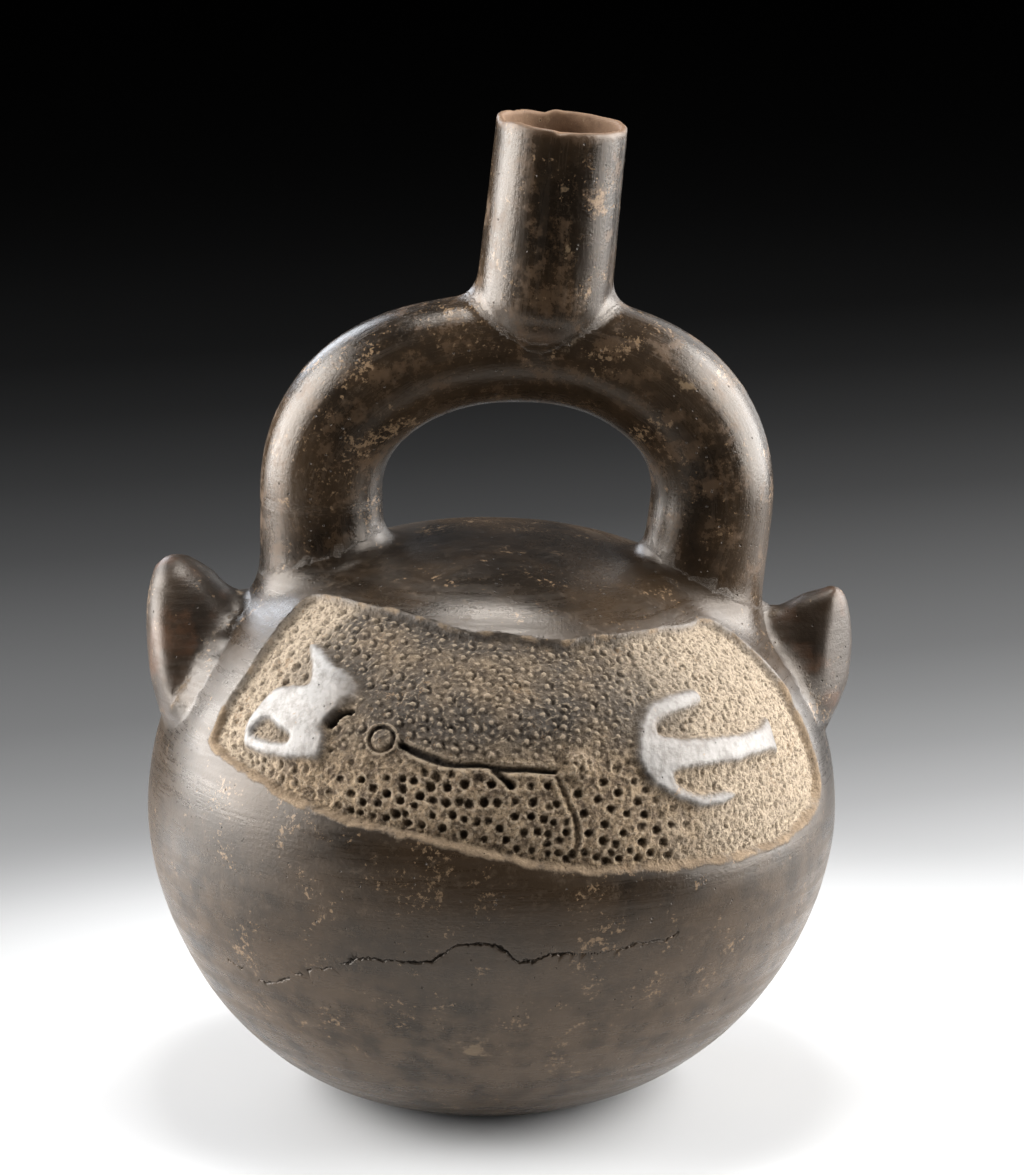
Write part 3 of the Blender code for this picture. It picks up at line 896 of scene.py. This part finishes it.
body_gap, tube_gap, pipe_gap, up_spout = part_gaps(skin)
across, depth_in, _ = spout_place(skin)
leg_joint = np.exp(-(np.abs(body_gap) + np.abs(tube_gap)) / 2.2)
one_side = 0.25 + 0.4 * smooth_step(0, 4, across)
spout_joint = one_side * np.exp(-(np.abs(pipe_gap) + np.abs(tube_gap)) / 1.2) * (up_spout < 22)
ears = skin[(gap > EAR_OUT) & (np.abs(skin[:, 0]) > EAR_SIDE)]
round_ears = (skin[:, 2] > 60) & (skin[:, 2] < 125) & (gap < EAR_OUT)
by_ear = where(skin, round_ears, lambda p: nearest(ears, p)[1], 99)
by_ear[gap >= EAR_OUT] = 3.0
ear_joint = np.exp(-np.abs(by_ear - 0.8) / 1.6)
store("hollowness", hollowness)
store("joint", np.maximum(np.maximum(leg_joint, spout_joint), ear_joint))
print("hollowness: from", round(float(hollowness.min()), 2), "to", round(float(hollowness.max()), 2), "mm")

# %% Masks of the panel
figure_in = np.maximum(eye_in, comb_in) + 0.5 * rough + 0.3 * swell
worn_top = smooth_step(-0.2, 1.8, figure_in) * fade(-1.0, 1.0, hollow_in)
dusty = smooth_step(22, 50, turned + 6 * swell) + fade(-50, -34, turned + 6 * swell)
# The eye's right end fades, as painted shade where it turns from the light; figures right of the front fade
# a little, and the comb's right end fades into the ground.
faded_and_shaded = 1 - 0.65 * smooth_step(-38, -29, turned) * (turned < 0) - 0.6 * smooth_step(54, 62, turned)
faded_and_shaded = faded_and_shaded - 0.3 * smooth_step(0, 20, turned)
store("figure", spread(work, worn_top * ground * faded_and_shaded))
store("dusty", spread(work, dusty.clip(0, 1)))
store("punched", spread(work, (marked * smooth_step(0.6, 1.0, in_ground)).clip(0, 1)))
store("cut", spread(work, cut.clip(0, 1) * in_ground))
low_edge = fade(88, 100, near[:, 2])
crust = bell(edge_in + 0.1, 0.8 + 0.5 * low_edge) * (0.5 + 0.35 * low_edge + 0.5 * bumps(near, 4.0, 8))
store("panel_edge", spread(work, crust.clip(0, 1)))
print("dusty share of the panel:", round(float(dusty.clip(0, 1).mean()), 2))

# %% Masks of the crack, ears, tube and lip
store("crack", spread(np.flatnonzero(crack_zone), split))
store("ear", smooth_step(0.5, 4.0, gap) * (np.abs(skin[:, 0]) > EAR_SIDE))
store("tube", smooth_step(2.0, 9.0, body_gap) * fade(2.0, 6.0, np.minimum(tube_gap, pipe_gap)))
below_rim = rim_height(np.arctan2(depth_in, across)) - up_spout
inward = fade(-0.9, 0.2, pipe_gap)
store("lip", fade(0.4, 2.4, below_rim) * (0.3 + 0.7 * inward))
store("inside", 1 - outside + outside * smooth_step(0.5, 2.0, -pipe_gap) * (up_spout > 3))
print("points at the lip:", int((np.abs(below_rim) < 2.4).sum()))

# %% Directions of the rubbing strokes
STROKE_LENGTH = 0.07

on_tube = smooth_step(-1.0, 3.0, body_gap) * fade(-1.0, 2.0, tube_gap)
on_pipe = smooth_step(-1.0, 3.0, tube_gap) * (up_spout > 0)
round_body = skin * [STROKE_LENGTH, STROKE_LENGTH, 1.0]
arch_up, arch_aside = skin[:, 2] - ARCH_SPRING, (skin[:, 0] - ARCH_CENTRE_X) * 0.8
arch_turn, arch_out = np.arctan2(arch_up, arch_aside), np.hypot(arch_up, arch_aside)
along_tube = np.stack([arch_turn * 3.0, skin[:, 1], arch_out + 200], 1)
up_pipe = np.stack([across, depth_in, up_spout * STROKE_LENGTH + 300], 1)
strokes = np.where((on_tube > 0.5)[:, None], along_tube, round_body)
strokes = np.where((on_pipe > 0.5)[:, None], up_pipe, strokes)
store("strokes", strokes)
print("stored:", [layer.name for layer in vessel.data.attributes if not layer.name.startswith(".")][-15:])

# %% [markdown]
# ## Building materials from groups
#
# The same few effects make every clay surface: clouds from the fire, strokes of the rubbing pebble,
# grit and thin earth. Each is a node group with its own sockets, so that a material only sets how
# much of each it wants. The same nodes written straight into the material would look no different,
# but a group keeps one effect together and serves the next clay as well.

# %% Helpers for nodes
def node(tree, kind, inputs=None, **settings):
    made = tree.nodes.new("ShaderNode" + kind)
    for name, value in settings.items():
        setattr(made, name, value)
    for socket, value in (inputs or {}).items():
        if isinstance(value, bpy.types.NodeSocket):
            tree.links.new(value, made.inputs[socket])
        else:
            made.inputs[socket].default_value = value
    return made


def new_group(name, inputs, outputs):
    """A node group with the sockets given as {name: kind}."""
    tree = bpy.data.node_groups.new(name, "ShaderNodeTree")
    for sockets, side in ((inputs, "INPUT"), (outputs, "OUTPUT")):
        for socket, kind in sockets.items():
            tree.interface.new_socket(socket, in_out=side, socket_type="NodeSocket" + kind)
    return tree, tree.nodes.new("NodeGroupInput").outputs, tree.nodes.new("NodeGroupOutput").inputs


def math_node(operation, first, *others):
    """A sum on shader values, in the tree that the first of them belongs to."""
    return node(first.id_data, "Math", dict(enumerate((first, *others))), operation=operation).outputs[0]


def times(first, second):
    return math_node("MULTIPLY", first, second)


def plus(first, second):
    return math_node("ADD", first, second)


def most(first, second):
    return math_node("MAXIMUM", first, second)


def less(first, second):
    return math_node("SUBTRACT", first, second)


def blend_value(share, first, second):
    """A number between two, by this share."""
    return node(share.id_data, "Mix", {0: share, 2: first, 3: second}, data_type="FLOAT").outputs[0]


def mix(share, first, second):
    """A colour between two, by this share."""
    return node(share.id_data, "Mix", {0: share, 6: first, 7: second}, data_type="RGBA").outputs[2]


def ramp(value, low, high, low_to=0.0, high_to=1.0):
    """Maps a value smoothly from one range to another, and stops at its ends."""
    inputs = {"Value": value, "From Min": low, "From Max": high, "To Min": low_to, "To Max": high_to}
    return node(value.id_data, "MapRange", inputs, interpolation_type="SMOOTHSTEP").outputs[0]


def noise_at(place, scale, detail=3.0, roughness=0.55, distortion=0.0):
    inputs = {"Scale": scale, "Detail": detail, "Roughness": roughness, "Distortion": distortion}
    return node(place.id_data, "TexNoise", {"Vector": place, **inputs}).outputs["Fac"]


def shade(red, green, blue):
    """A colour from linear light, with full alpha."""
    return (red, green, blue, 1.0)


print("node helpers ready")


# %% Group: clouds from the fire
def fire_clouds():
    tree, given, made = new_group(
        "Fire clouds",
        {"Place": "Vector", "Dark": "Color", "Warm": "Color", "Pale": "Color", "Paleness": "Float"},
        {"Color": "Color"},
    )
    broad = noise_at(given["Place"], 0.022, 3.0, 0.5, 0.6)
    small = noise_at(given["Place"], 0.16, 4.0, 0.6)
    cloud = ramp(plus(broad, times(small, 0.35)), 0.52, 0.84)
    brown = mix(cloud, given["Dark"], given["Warm"])
    pale = times(given["Paleness"], ramp(small, 0.34, 0.62, 0.2, 1.1))
    tree.links.new(mix(pale, brown, given["Pale"]), made["Color"])
    return tree


groups = {"Fire clouds": fire_clouds()}
print("groups:", list(groups))


# %% Group: strokes of the rubbing pebble
def rubbing_strokes():
    tree, given, made = new_group(
        "Rubbing strokes", {"Strokes": "Vector"}, {"Streak": "Float", "Scratch": "Float", "Height": "Float"}
    )
    broad = noise_at(given["Strokes"], 0.35, 2.0, 0.5)
    fine = noise_at(given["Strokes"], 1.6, 3.0, 0.65)
    streak = plus(times(broad, 0.6), times(fine, 0.4))
    tree.links.new(ramp(streak, 0.36, 0.66), made["Streak"])
    tree.links.new(ramp(fine, 0.68, 0.78), made["Scratch"])
    tree.links.new(streak, made["Height"])
    return tree


groups["Rubbing strokes"] = rubbing_strokes()
print("groups:", list(groups))


# %% Group: grit of the clay
def clay_grit():
    tree, given, made = new_group(
        "Clay grit", {"Place": "Vector", "Grain": "Float", "Flecks": "Float"},
        {"Height": "Float", "Speck": "Float", "Pore": "Float"},
    )
    flecks = noise_at(given["Place"], 0.85, 4.0, 0.75)
    crowd = noise_at(given["Place"], 0.09, 3.0, 0.6, 0.5)
    crowded = plus(flecks, times(crowd, 0.8))
    cells = node(tree, "TexVoronoi", {"Vector": given["Place"], "Scale": 0.6, "Randomness": 1.0})
    chance = node(tree, "SeparateColor", {"Color": cells.outputs["Color"]}).outputs[1]
    hole = plus(cells.outputs["Distance"], times(flecks, 0.25))
    tree.links.new(noise_at(given["Place"], given["Grain"], 4.0, 0.7), made["Height"])
    tree.links.new(ramp(plus(crowded, given["Flecks"]), 1.07, 1.12), made["Speck"])
    tree.links.new(times(ramp(hole, 0.3, 0.2), ramp(chance, 0.8, 0.86)), made["Pore"])
    return tree


groups["Clay grit"] = clay_grit()
print("groups:", list(groups))

# %% Group: thin earth left in hollows
EARTH_DARK, EARTH_PALE = shade(0.11, 0.072, 0.042), shade(0.36, 0.26, 0.165)
EARTH_GRAIN = shade(0.22, 0.155, 0.095)


def earth_film():
    tree, given, made = new_group(
        "Earth film", {"Place": "Vector", "Hollow": "Float", "Amount": "Float"},
        {"Color": "Color", "Film": "Float"},
    )
    patch = noise_at(given["Place"], 0.3, 5.0, 0.65)
    grain = noise_at(given["Place"], 2.2, 2.0, 0.6)
    reach = plus(times(given["Hollow"], given["Amount"]), times(patch, 0.7))
    earth = mix(ramp(patch, 0.35, 0.62), EARTH_DARK, EARTH_PALE)
    tree.links.new(mix(ramp(grain, 0.3, 0.7), earth, EARTH_GRAIN), made["Color"])
    tree.links.new(ramp(plus(reach, times(grain, 0.25)), 0.78, 1.15), made["Film"])
    return tree


groups["Earth film"] = earth_film()
print("groups:", list(groups))


# %% Place a group in a material, and read a stored value
def place_group(tree, name, inputs):
    return node(tree, "Group", inputs, node_tree=groups[name]).outputs


def stored(tree, name):
    """Reads an attribute that was stored on the points."""
    made = node(tree, "Attribute", None, attribute_name=name, attribute_type="GEOMETRY")
    return made.outputs["Vector" if name == "strokes" else "Fac"]


print("sockets of the last group:", [item.name for item in groups["Earth film"].interface.items_tree])

# %% [markdown]
# ## Burnished blackware
#
# Smoke in a choked fire turned the slip dark, and rubbing made it shine like wax, not like glass.
# The gloss comes from a fairly low roughness that streaks vary, since a clear coat would look like
# varnish. Handling has worn the stirrup and spout brown, and in a few places through to the clay.
# The punched ground was never rubbed: it is matt, sandy and full of pale earth.

# %% Colours of the fired clay, and where it is worn through
WORN_PATCHES = (
    ((-1.5, -65.7, 28.2), 4.0), ((44.6, -12.0, 162.4), 2.6), ((18.3, -14.2, 192.2), 1.7),
    ((17.4, -14.3, 206.2), 1.5),
)
SMOKED = shade(0.0095, 0.0065, 0.0042)
SMOKED_BROWN = shade(0.038, 0.0235, 0.0128)
# A paler tone, in patches, towards the foot and on the lower flanks.
LOWER_PALE_TONE = shade(0.096, 0.066, 0.042)
STREAK_BROWN = shade(0.06, 0.04, 0.025)
SCUFF_TAN = shade(0.15, 0.105, 0.068)
SCRATCH_TAN = shade(0.11, 0.085, 0.062)
HANDLED_BROWN = shade(0.1, 0.058, 0.03)
EAR_DARK = shade(0.016, 0.009, 0.005)
EAR_RED = shade(0.085, 0.038, 0.018)
CORE_DARK, CORE_PALE = shade(0.085, 0.042, 0.022), shade(0.26, 0.155, 0.088)
SAND_DARK, SAND_PALE = shade(0.11, 0.073, 0.044), shade(0.38, 0.275, 0.17)
GROUND_GREY = shade(0.050, 0.043, 0.037)
DUST = shade(0.46, 0.37, 0.27)
# Painted shade in the low points of the sand's grain, which the bump sinks.
GRAIN_LOW_SHADE = shade(0.060, 0.040, 0.024)
# Dirt and painted shade in the ground's hollows and punched marks.
HOLLOW_DIRT_AND_SHADE = shade(0.030, 0.019, 0.011)
# A painted highlight on the raised points of the ground.
RAISED_PAINTED_HIGHLIGHT = shade(0.42, 0.33, 0.23)
FIGURE_GREY = shade(0.305, 0.297, 0.287)
SPECK_TAN = shade(0.235, 0.155, 0.09)
PATCH_TAN = shade(0.25, 0.175, 0.105)
# Dirt and painted shade in the crack, the cut lines and the pores.
CRACK_DIRT_AND_SHADE = shade(0.006, 0.004, 0.003)
SHINE_TINT = shade(1.0, 0.89, 0.78)
MATT = 0.85
print("worn patches:", len(WORN_PATCHES))


# %% The skin's material
def burnished_blackware():
    material = bpy.data.materials.new("burnished blackware")
    material.use_nodes = True
    tree = material.node_tree
    shader = tree.nodes["Principled BSDF"]
    spot = node(tree, "TexCoord").outputs["Object"]
    place = node(tree, "VectorMath", {0: spot, "Scale": 1 / MM}, operation="SCALE").outputs[0]
    aside, _, height = node(tree, "SeparateXYZ", {"Vector": place}).outputs

    def mask(name):
        return stored(tree, name)

    def coated(colour, layers):
        """The colour with these layers over it, each a share and its own colour."""
        for share, tone in layers:
            colour = mix(share, colour, tone)
        return colour

    def patches(scale, detail, roughness, *limits):
        return ramp(noise_at(place, scale, detail, roughness), *limits)

    # The rubbed skin: smoke clouds, strokes, scuffs and the brown of handling.
    # Paler in patches towards the foot and on the lower flanks.
    low = ramp(height, 60.0, 18.0, 0.0, 0.72)
    flank = times(ramp(math_node("ABSOLUTE", aside), 40.0, 74.0, 0.0, 0.5), ramp(height, 78.0, 55.0))
    clouds = place_group(tree, "Fire clouds", {
        "Place": place, "Dark": SMOKED, "Warm": SMOKED_BROWN, "Pale": LOWER_PALE_TONE,
        "Paleness": plus(low, flank),
    })
    strokes = place_group(tree, "Rubbing strokes", {"Strokes": mask("strokes")})
    flecks = times(mask("tube"), 0.028)
    grit = place_group(tree, "Clay grit", {"Place": place, "Grain": 1.3, "Flecks": flecks})
    scuffs = patches(0.45, 6.0, 0.78, 0.5, 0.72, 0.0, 0.27)
    scuffs = times(scuffs, patches(0.05, 3.0, 0.55, 0.38, 0.6, 0.25, 1.0))
    mottle = times(patches(0.16, 6.0, 0.75, 0.5, 0.64, 0.0, 0.55), mask("tube"))
    rubbed = times(times(mask("ear"), 0.55), patches(0.12, 4.0, 0.55, 0.5, 0.7))
    bare_clay = mix(noise_at(place, 0.4, 5.0, 0.7), CORE_DARK, CORE_PALE)
    colour = coated(clouds["Color"], (
        (times(strokes["Streak"], 0.08), STREAK_BROWN),
        (scuffs, SCUFF_TAN),
        (times(strokes["Scratch"], 0.3), SCRATCH_TAN),
        (mottle, HANDLED_BROWN),
        (times(mask("ear"), 0.5), EAR_DARK),
        (rubbed, EAR_RED),
        (times(mask("lip"), 0.85), bare_clay),
        (times(mask("inside"), 0.9), bare_clay),
    ))

    # The punched ground and its rubbed figures.
    bare = mask("ground")
    grey = times(patches(0.05, 3.0, 0.55, 0.36, 0.56, 0.5, 0.95), ramp(height, 88.0, 99.0))
    # Punched marks and hollows of the ground are darkened with dirt and painted shade, the low points of its
    # grain with painted shade, and its raised points get a painted highlight.
    dirt_and_shade_share = ramp(mask("dusty"), 0.0, 1.0, 0.34, 0.24)
    clay = coated(mix(patches(0.35, 5.0, 0.7, 0.35, 0.62), SAND_DARK, SAND_PALE), (
        (grey, GROUND_GREY),
        (times(mask("dusty"), 0.85), DUST),
        (ramp(grit["Height"], 0.54, 0.36, 0.0, 0.7), GRAIN_LOW_SHADE),
        (times(mask("punched"), dirt_and_shade_share), HOLLOW_DIRT_AND_SHADE),
        (times(ramp(mask("hollowness"), 0.02, 0.16), dirt_and_shade_share), HOLLOW_DIRT_AND_SHADE),
        (ramp(mask("hollowness"), -0.02, -0.14, 0.0, 0.6), RAISED_PAINTED_HIGHLIGHT),
    ))
    worn = patches(0.3, 5.0, 0.7, 0.34, 0.58, 0.5, 1.0)

    # Earth, specks, worn patches, and dirt and painted shade in the crack, cuts and pores over everything.
    joint = plus(mask("joint"), times(mask("panel_edge"), 1.15))
    earth = place_group(tree, "Earth film", {"Place": place, "Hollow": joint, "Amount": 0.75})
    colour = coated(colour, (
        (bare, clay),
        (times(mask("figure"), worn), FIGURE_GREY),
        (times(earth["Film"], 0.8), earth["Color"]),
        (times(grit["Speck"], 0.75), SPECK_TAN),
    ))
    for middle, reach in WORN_PATCHES:
        away = node(tree, "VectorMath", {0: place, 1: middle}, operation="DISTANCE").outputs["Value"]
        ragged = times(noise_at(place, 1.4 / reach, 5.0, 0.7), 4.5 * reach)
        colour = mix(ramp(plus(away, ragged), 2.9 * reach, 2.4 * reach, 0.0, 0.5), colour, PATCH_TAN)
    # The crack, cuts and pores are painted near black: dirt and painted shade in recesses the mesh already
    # sinks.
    dark = most(most(mask("crack"), times(mask("cut"), 0.9)), times(grit["Pore"], 0.6))
    tree.links.new(mix(dark, colour, CRACK_DIRT_AND_SHADE), shader.inputs["Base Color"])
    shader.inputs["Specular Tint"].default_value = SHINE_TINT

    # Shine: streaked where rubbed, matt where bare, earthy or cut.
    gloss = ramp(strokes["Streak"], 0.0, 1.0, 0.25, 0.38)
    for share, rougher in ((scuffs, 0.5), (mottle, 0.3), (mask("ear"), 0.12), (mask("tube"), -0.08)):
        gloss = plus(gloss, times(share, rougher))
    gloss = blend_value(mask("figure"), gloss, 0.45)
    matt = bare
    for share in (earth["Film"], mask("inside"), times(mask("lip"), 0.6), dark):
        matt = most(matt, share)
    tree.links.new(blend_value(matt, gloss, MATT), shader.inputs["Roughness"])

    # Fine relief under the light: strokes, sand and pores.
    gritty = blend_value(bare, blend_value(earth["Film"], 0.09, 0.4), 1.5)
    relief = plus(times(strokes["Height"], 0.11), times(grit["Height"], gritty))
    relief = less(relief, times(grit["Pore"], 0.25))
    bump = node(tree, "Bump", {"Strength": 0.8, "Distance": 1.0 * MM, "Height": relief})
    tree.links.new(bump.outputs[0], shader.inputs["Normal"])
    return material


vessel.data.materials.append(burnished_blackware())
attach(vessel, "root")
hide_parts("vessel")
print("material:", vessel.data.materials[0].name)

# %% [markdown]
# ## Camera, floor and light
#
# The photograph was taken with a long lens from a little above. Its floor is a pale sheet that
# falls into shadow behind. A gradient card behind the vessel would show an edge from other sides,
# so that shadow is painted shade on the floor itself: its colour darkens with distance from a
# slanted band that runs under the vessel, faster in front than behind. A painted white patch at
# the left stands for the light of a reflecting card there, and a painted pool of light under the
# vessel keeps its foot light where the vessel's own shadow would fall.

# %% The camera
LENS_MM = 36 * 5568 / 1175
CAMERA_PITCH = math.radians(14.39)

camera = bpy.data.objects.new("camera", bpy.data.cameras.new("camera"))
camera.data.lens = LENS_MM
camera.data.sensor_width = 36
camera.location = (0.0062, -1.2, 0.4214)
camera.rotation_euler = (math.pi / 2 - CAMERA_PITCH, 0, 0)
bpy.context.scene.collection.objects.link(camera)
bpy.context.scene.camera = camera
print("lens:", round(LENS_MM, 1), "mm")

# %% The floor
FLOOR_RADIUS = 9.0
BAND_SLANT = 0.36
BAND_MIDDLE = -0.07
FRONT_FALL = 1.7
# Painted shade on the floor: its grey at each distance from the band, darkening behind.
PAINTED_FLOOR_SHADE = (
    (0.0, 0.47), (0.06, 0.47), (0.1, 0.42), (0.15, 0.32), (0.2, 0.225), (0.25, 0.158), (0.3, 0.113),
    (0.35, 0.085), (0.4, 0.064), (0.5, 0.0435), (0.6, 0.0245), (0.7, 0.0142), (0.8, 0.0077),
    (0.9, 0.0045), (1.1, 0.0031), (1.3, 0.0022), (1.7, 0.0014),
)
# A painted light patch at the left, standing for the light of a reflecting card.
PAINTED_CARD_PLACE = (-0.33, 0.02, 0.0)
PAINTED_CARD_TONE = 0.9
# A painted pool of light under the vessel, where its own shadow would fall.
PAINTED_POOL_PLACE = (0.0, -0.03, 0.0)
PAINTED_POOL_TONE = 0.54


def floor_with_painted_light():
    material = bpy.data.materials.new("studio paper with painted light")
    material.use_nodes = True
    tree = material.node_tree
    shader = tree.nodes["Principled BSDF"]
    spot = node(tree, "TexCoord").outputs["Object"]

    def compared(operation, place):
        return node(tree, "VectorMath", {0: spot, 1: place}, operation=operation).outputs["Value"]

    # The floor's colour is painted shade that darkens with distance from the slanted band.
    behind = less(compared("DOT_PRODUCT", (-BAND_SLANT, 1.0, 0.0)), BAND_MIDDLE)
    reach = most(behind, times(behind, -FRONT_FALL))
    painted_falloff = node(tree, "ValToRGB", {"Fac": math_node("DIVIDE", reach, PAINTED_FLOOR_SHADE[-1][0])})
    painted_falloff.color_ramp.interpolation = "LINEAR"
    bands = painted_falloff.color_ramp.elements
    while len(bands) < len(PAINTED_FLOOR_SHADE):
        bands.new(1.0)
    for band, (distance, tone) in zip(bands, PAINTED_FLOOR_SHADE):
        band.position = distance / PAINTED_FLOOR_SHADE[-1][0]
        band.color = shade(tone, tone, tone)
    # A painted pool of light under the vessel lightens its own shadow on the floor.
    painted_pool = ramp(compared("DISTANCE", PAINTED_POOL_PLACE), 0.24, 0.05)
    tone = mix(painted_pool, painted_falloff.outputs[0], shade(PAINTED_POOL_TONE, PAINTED_POOL_TONE, PAINTED_POOL_TONE))
    # The painted light patch for the reflecting card, which the belly reflects.
    painted_card = ramp(compared("DISTANCE", PAINTED_CARD_PLACE), 0.21, 0.13)
    tree.links.new(mix(painted_card, tone, shade(PAINTED_CARD_TONE, PAINTED_CARD_TONE, PAINTED_CARD_TONE)), shader.inputs["Base Color"])
    shader.inputs["Roughness"].default_value = 0.9
    shader.inputs["Specular IOR Level"].default_value = 0.0
    return material


bm = bmesh.new()
bmesh.ops.create_circle(bm, cap_ends=True, segments=96, radius=FLOOR_RADIUS)
floor_mesh = bpy.data.meshes.new("floor")
bm.to_mesh(floor_mesh)
bm.free()
floor = bpy.data.objects.new("floor", floor_mesh)
floor.location.z = -0.0002
floor_mesh.materials.append(floor_with_painted_light())
bpy.context.scene.collection.objects.link(floor)
print("floor radius:", FLOOR_RADIUS, "m")


# %% The lights
def softbox(name, azimuth, elevation, distance, width, height, power, tint=(1.0, 1.0, 1.0)):
    """A square-cornered soft light that faces the vessel, at an angle round from the front."""
    light = bpy.data.lights.new(name, "AREA")
    light.shape = "RECTANGLE"
    light.size, light.size_y = width, height
    light.energy = power
    light.color = tint
    lamp = bpy.data.objects.new(name, light)
    way = Vector(facing(azimuth, elevation))
    lamp.location = Vector((0, 0, 0.11)) + way * distance
    lamp.rotation_euler = way.to_track_quat("Z", "Y").to_euler()
    lamp.visible_camera = False
    bpy.context.scene.collection.objects.link(lamp)
    return lamp


softbox("left softbox", -97, 18, 0.85, 0.8, 0.82, 26.5)
softbox("right softbox", 97, 19, 0.85, 0.95, 0.92, 31)
softbox("overhead", 180, 83, 0.85, 0.24, 0.26, 5.2)
softbox("back left glow", -148, 25, 0.9, 0.32, 0.4, 2.6, (0.85, 0.91, 1.0))
softbox("back right glow", 142, 18, 0.9, 0.6, 0.8, 2.2)

world = bpy.data.worlds.new("dim studio")
world.use_nodes = True
world.node_tree.nodes["Background"].inputs["Color"].default_value = shade(0.066, 0.066, 0.068)
bpy.context.scene.world = world
bpy.context.scene.view_settings.view_transform = "Standard"
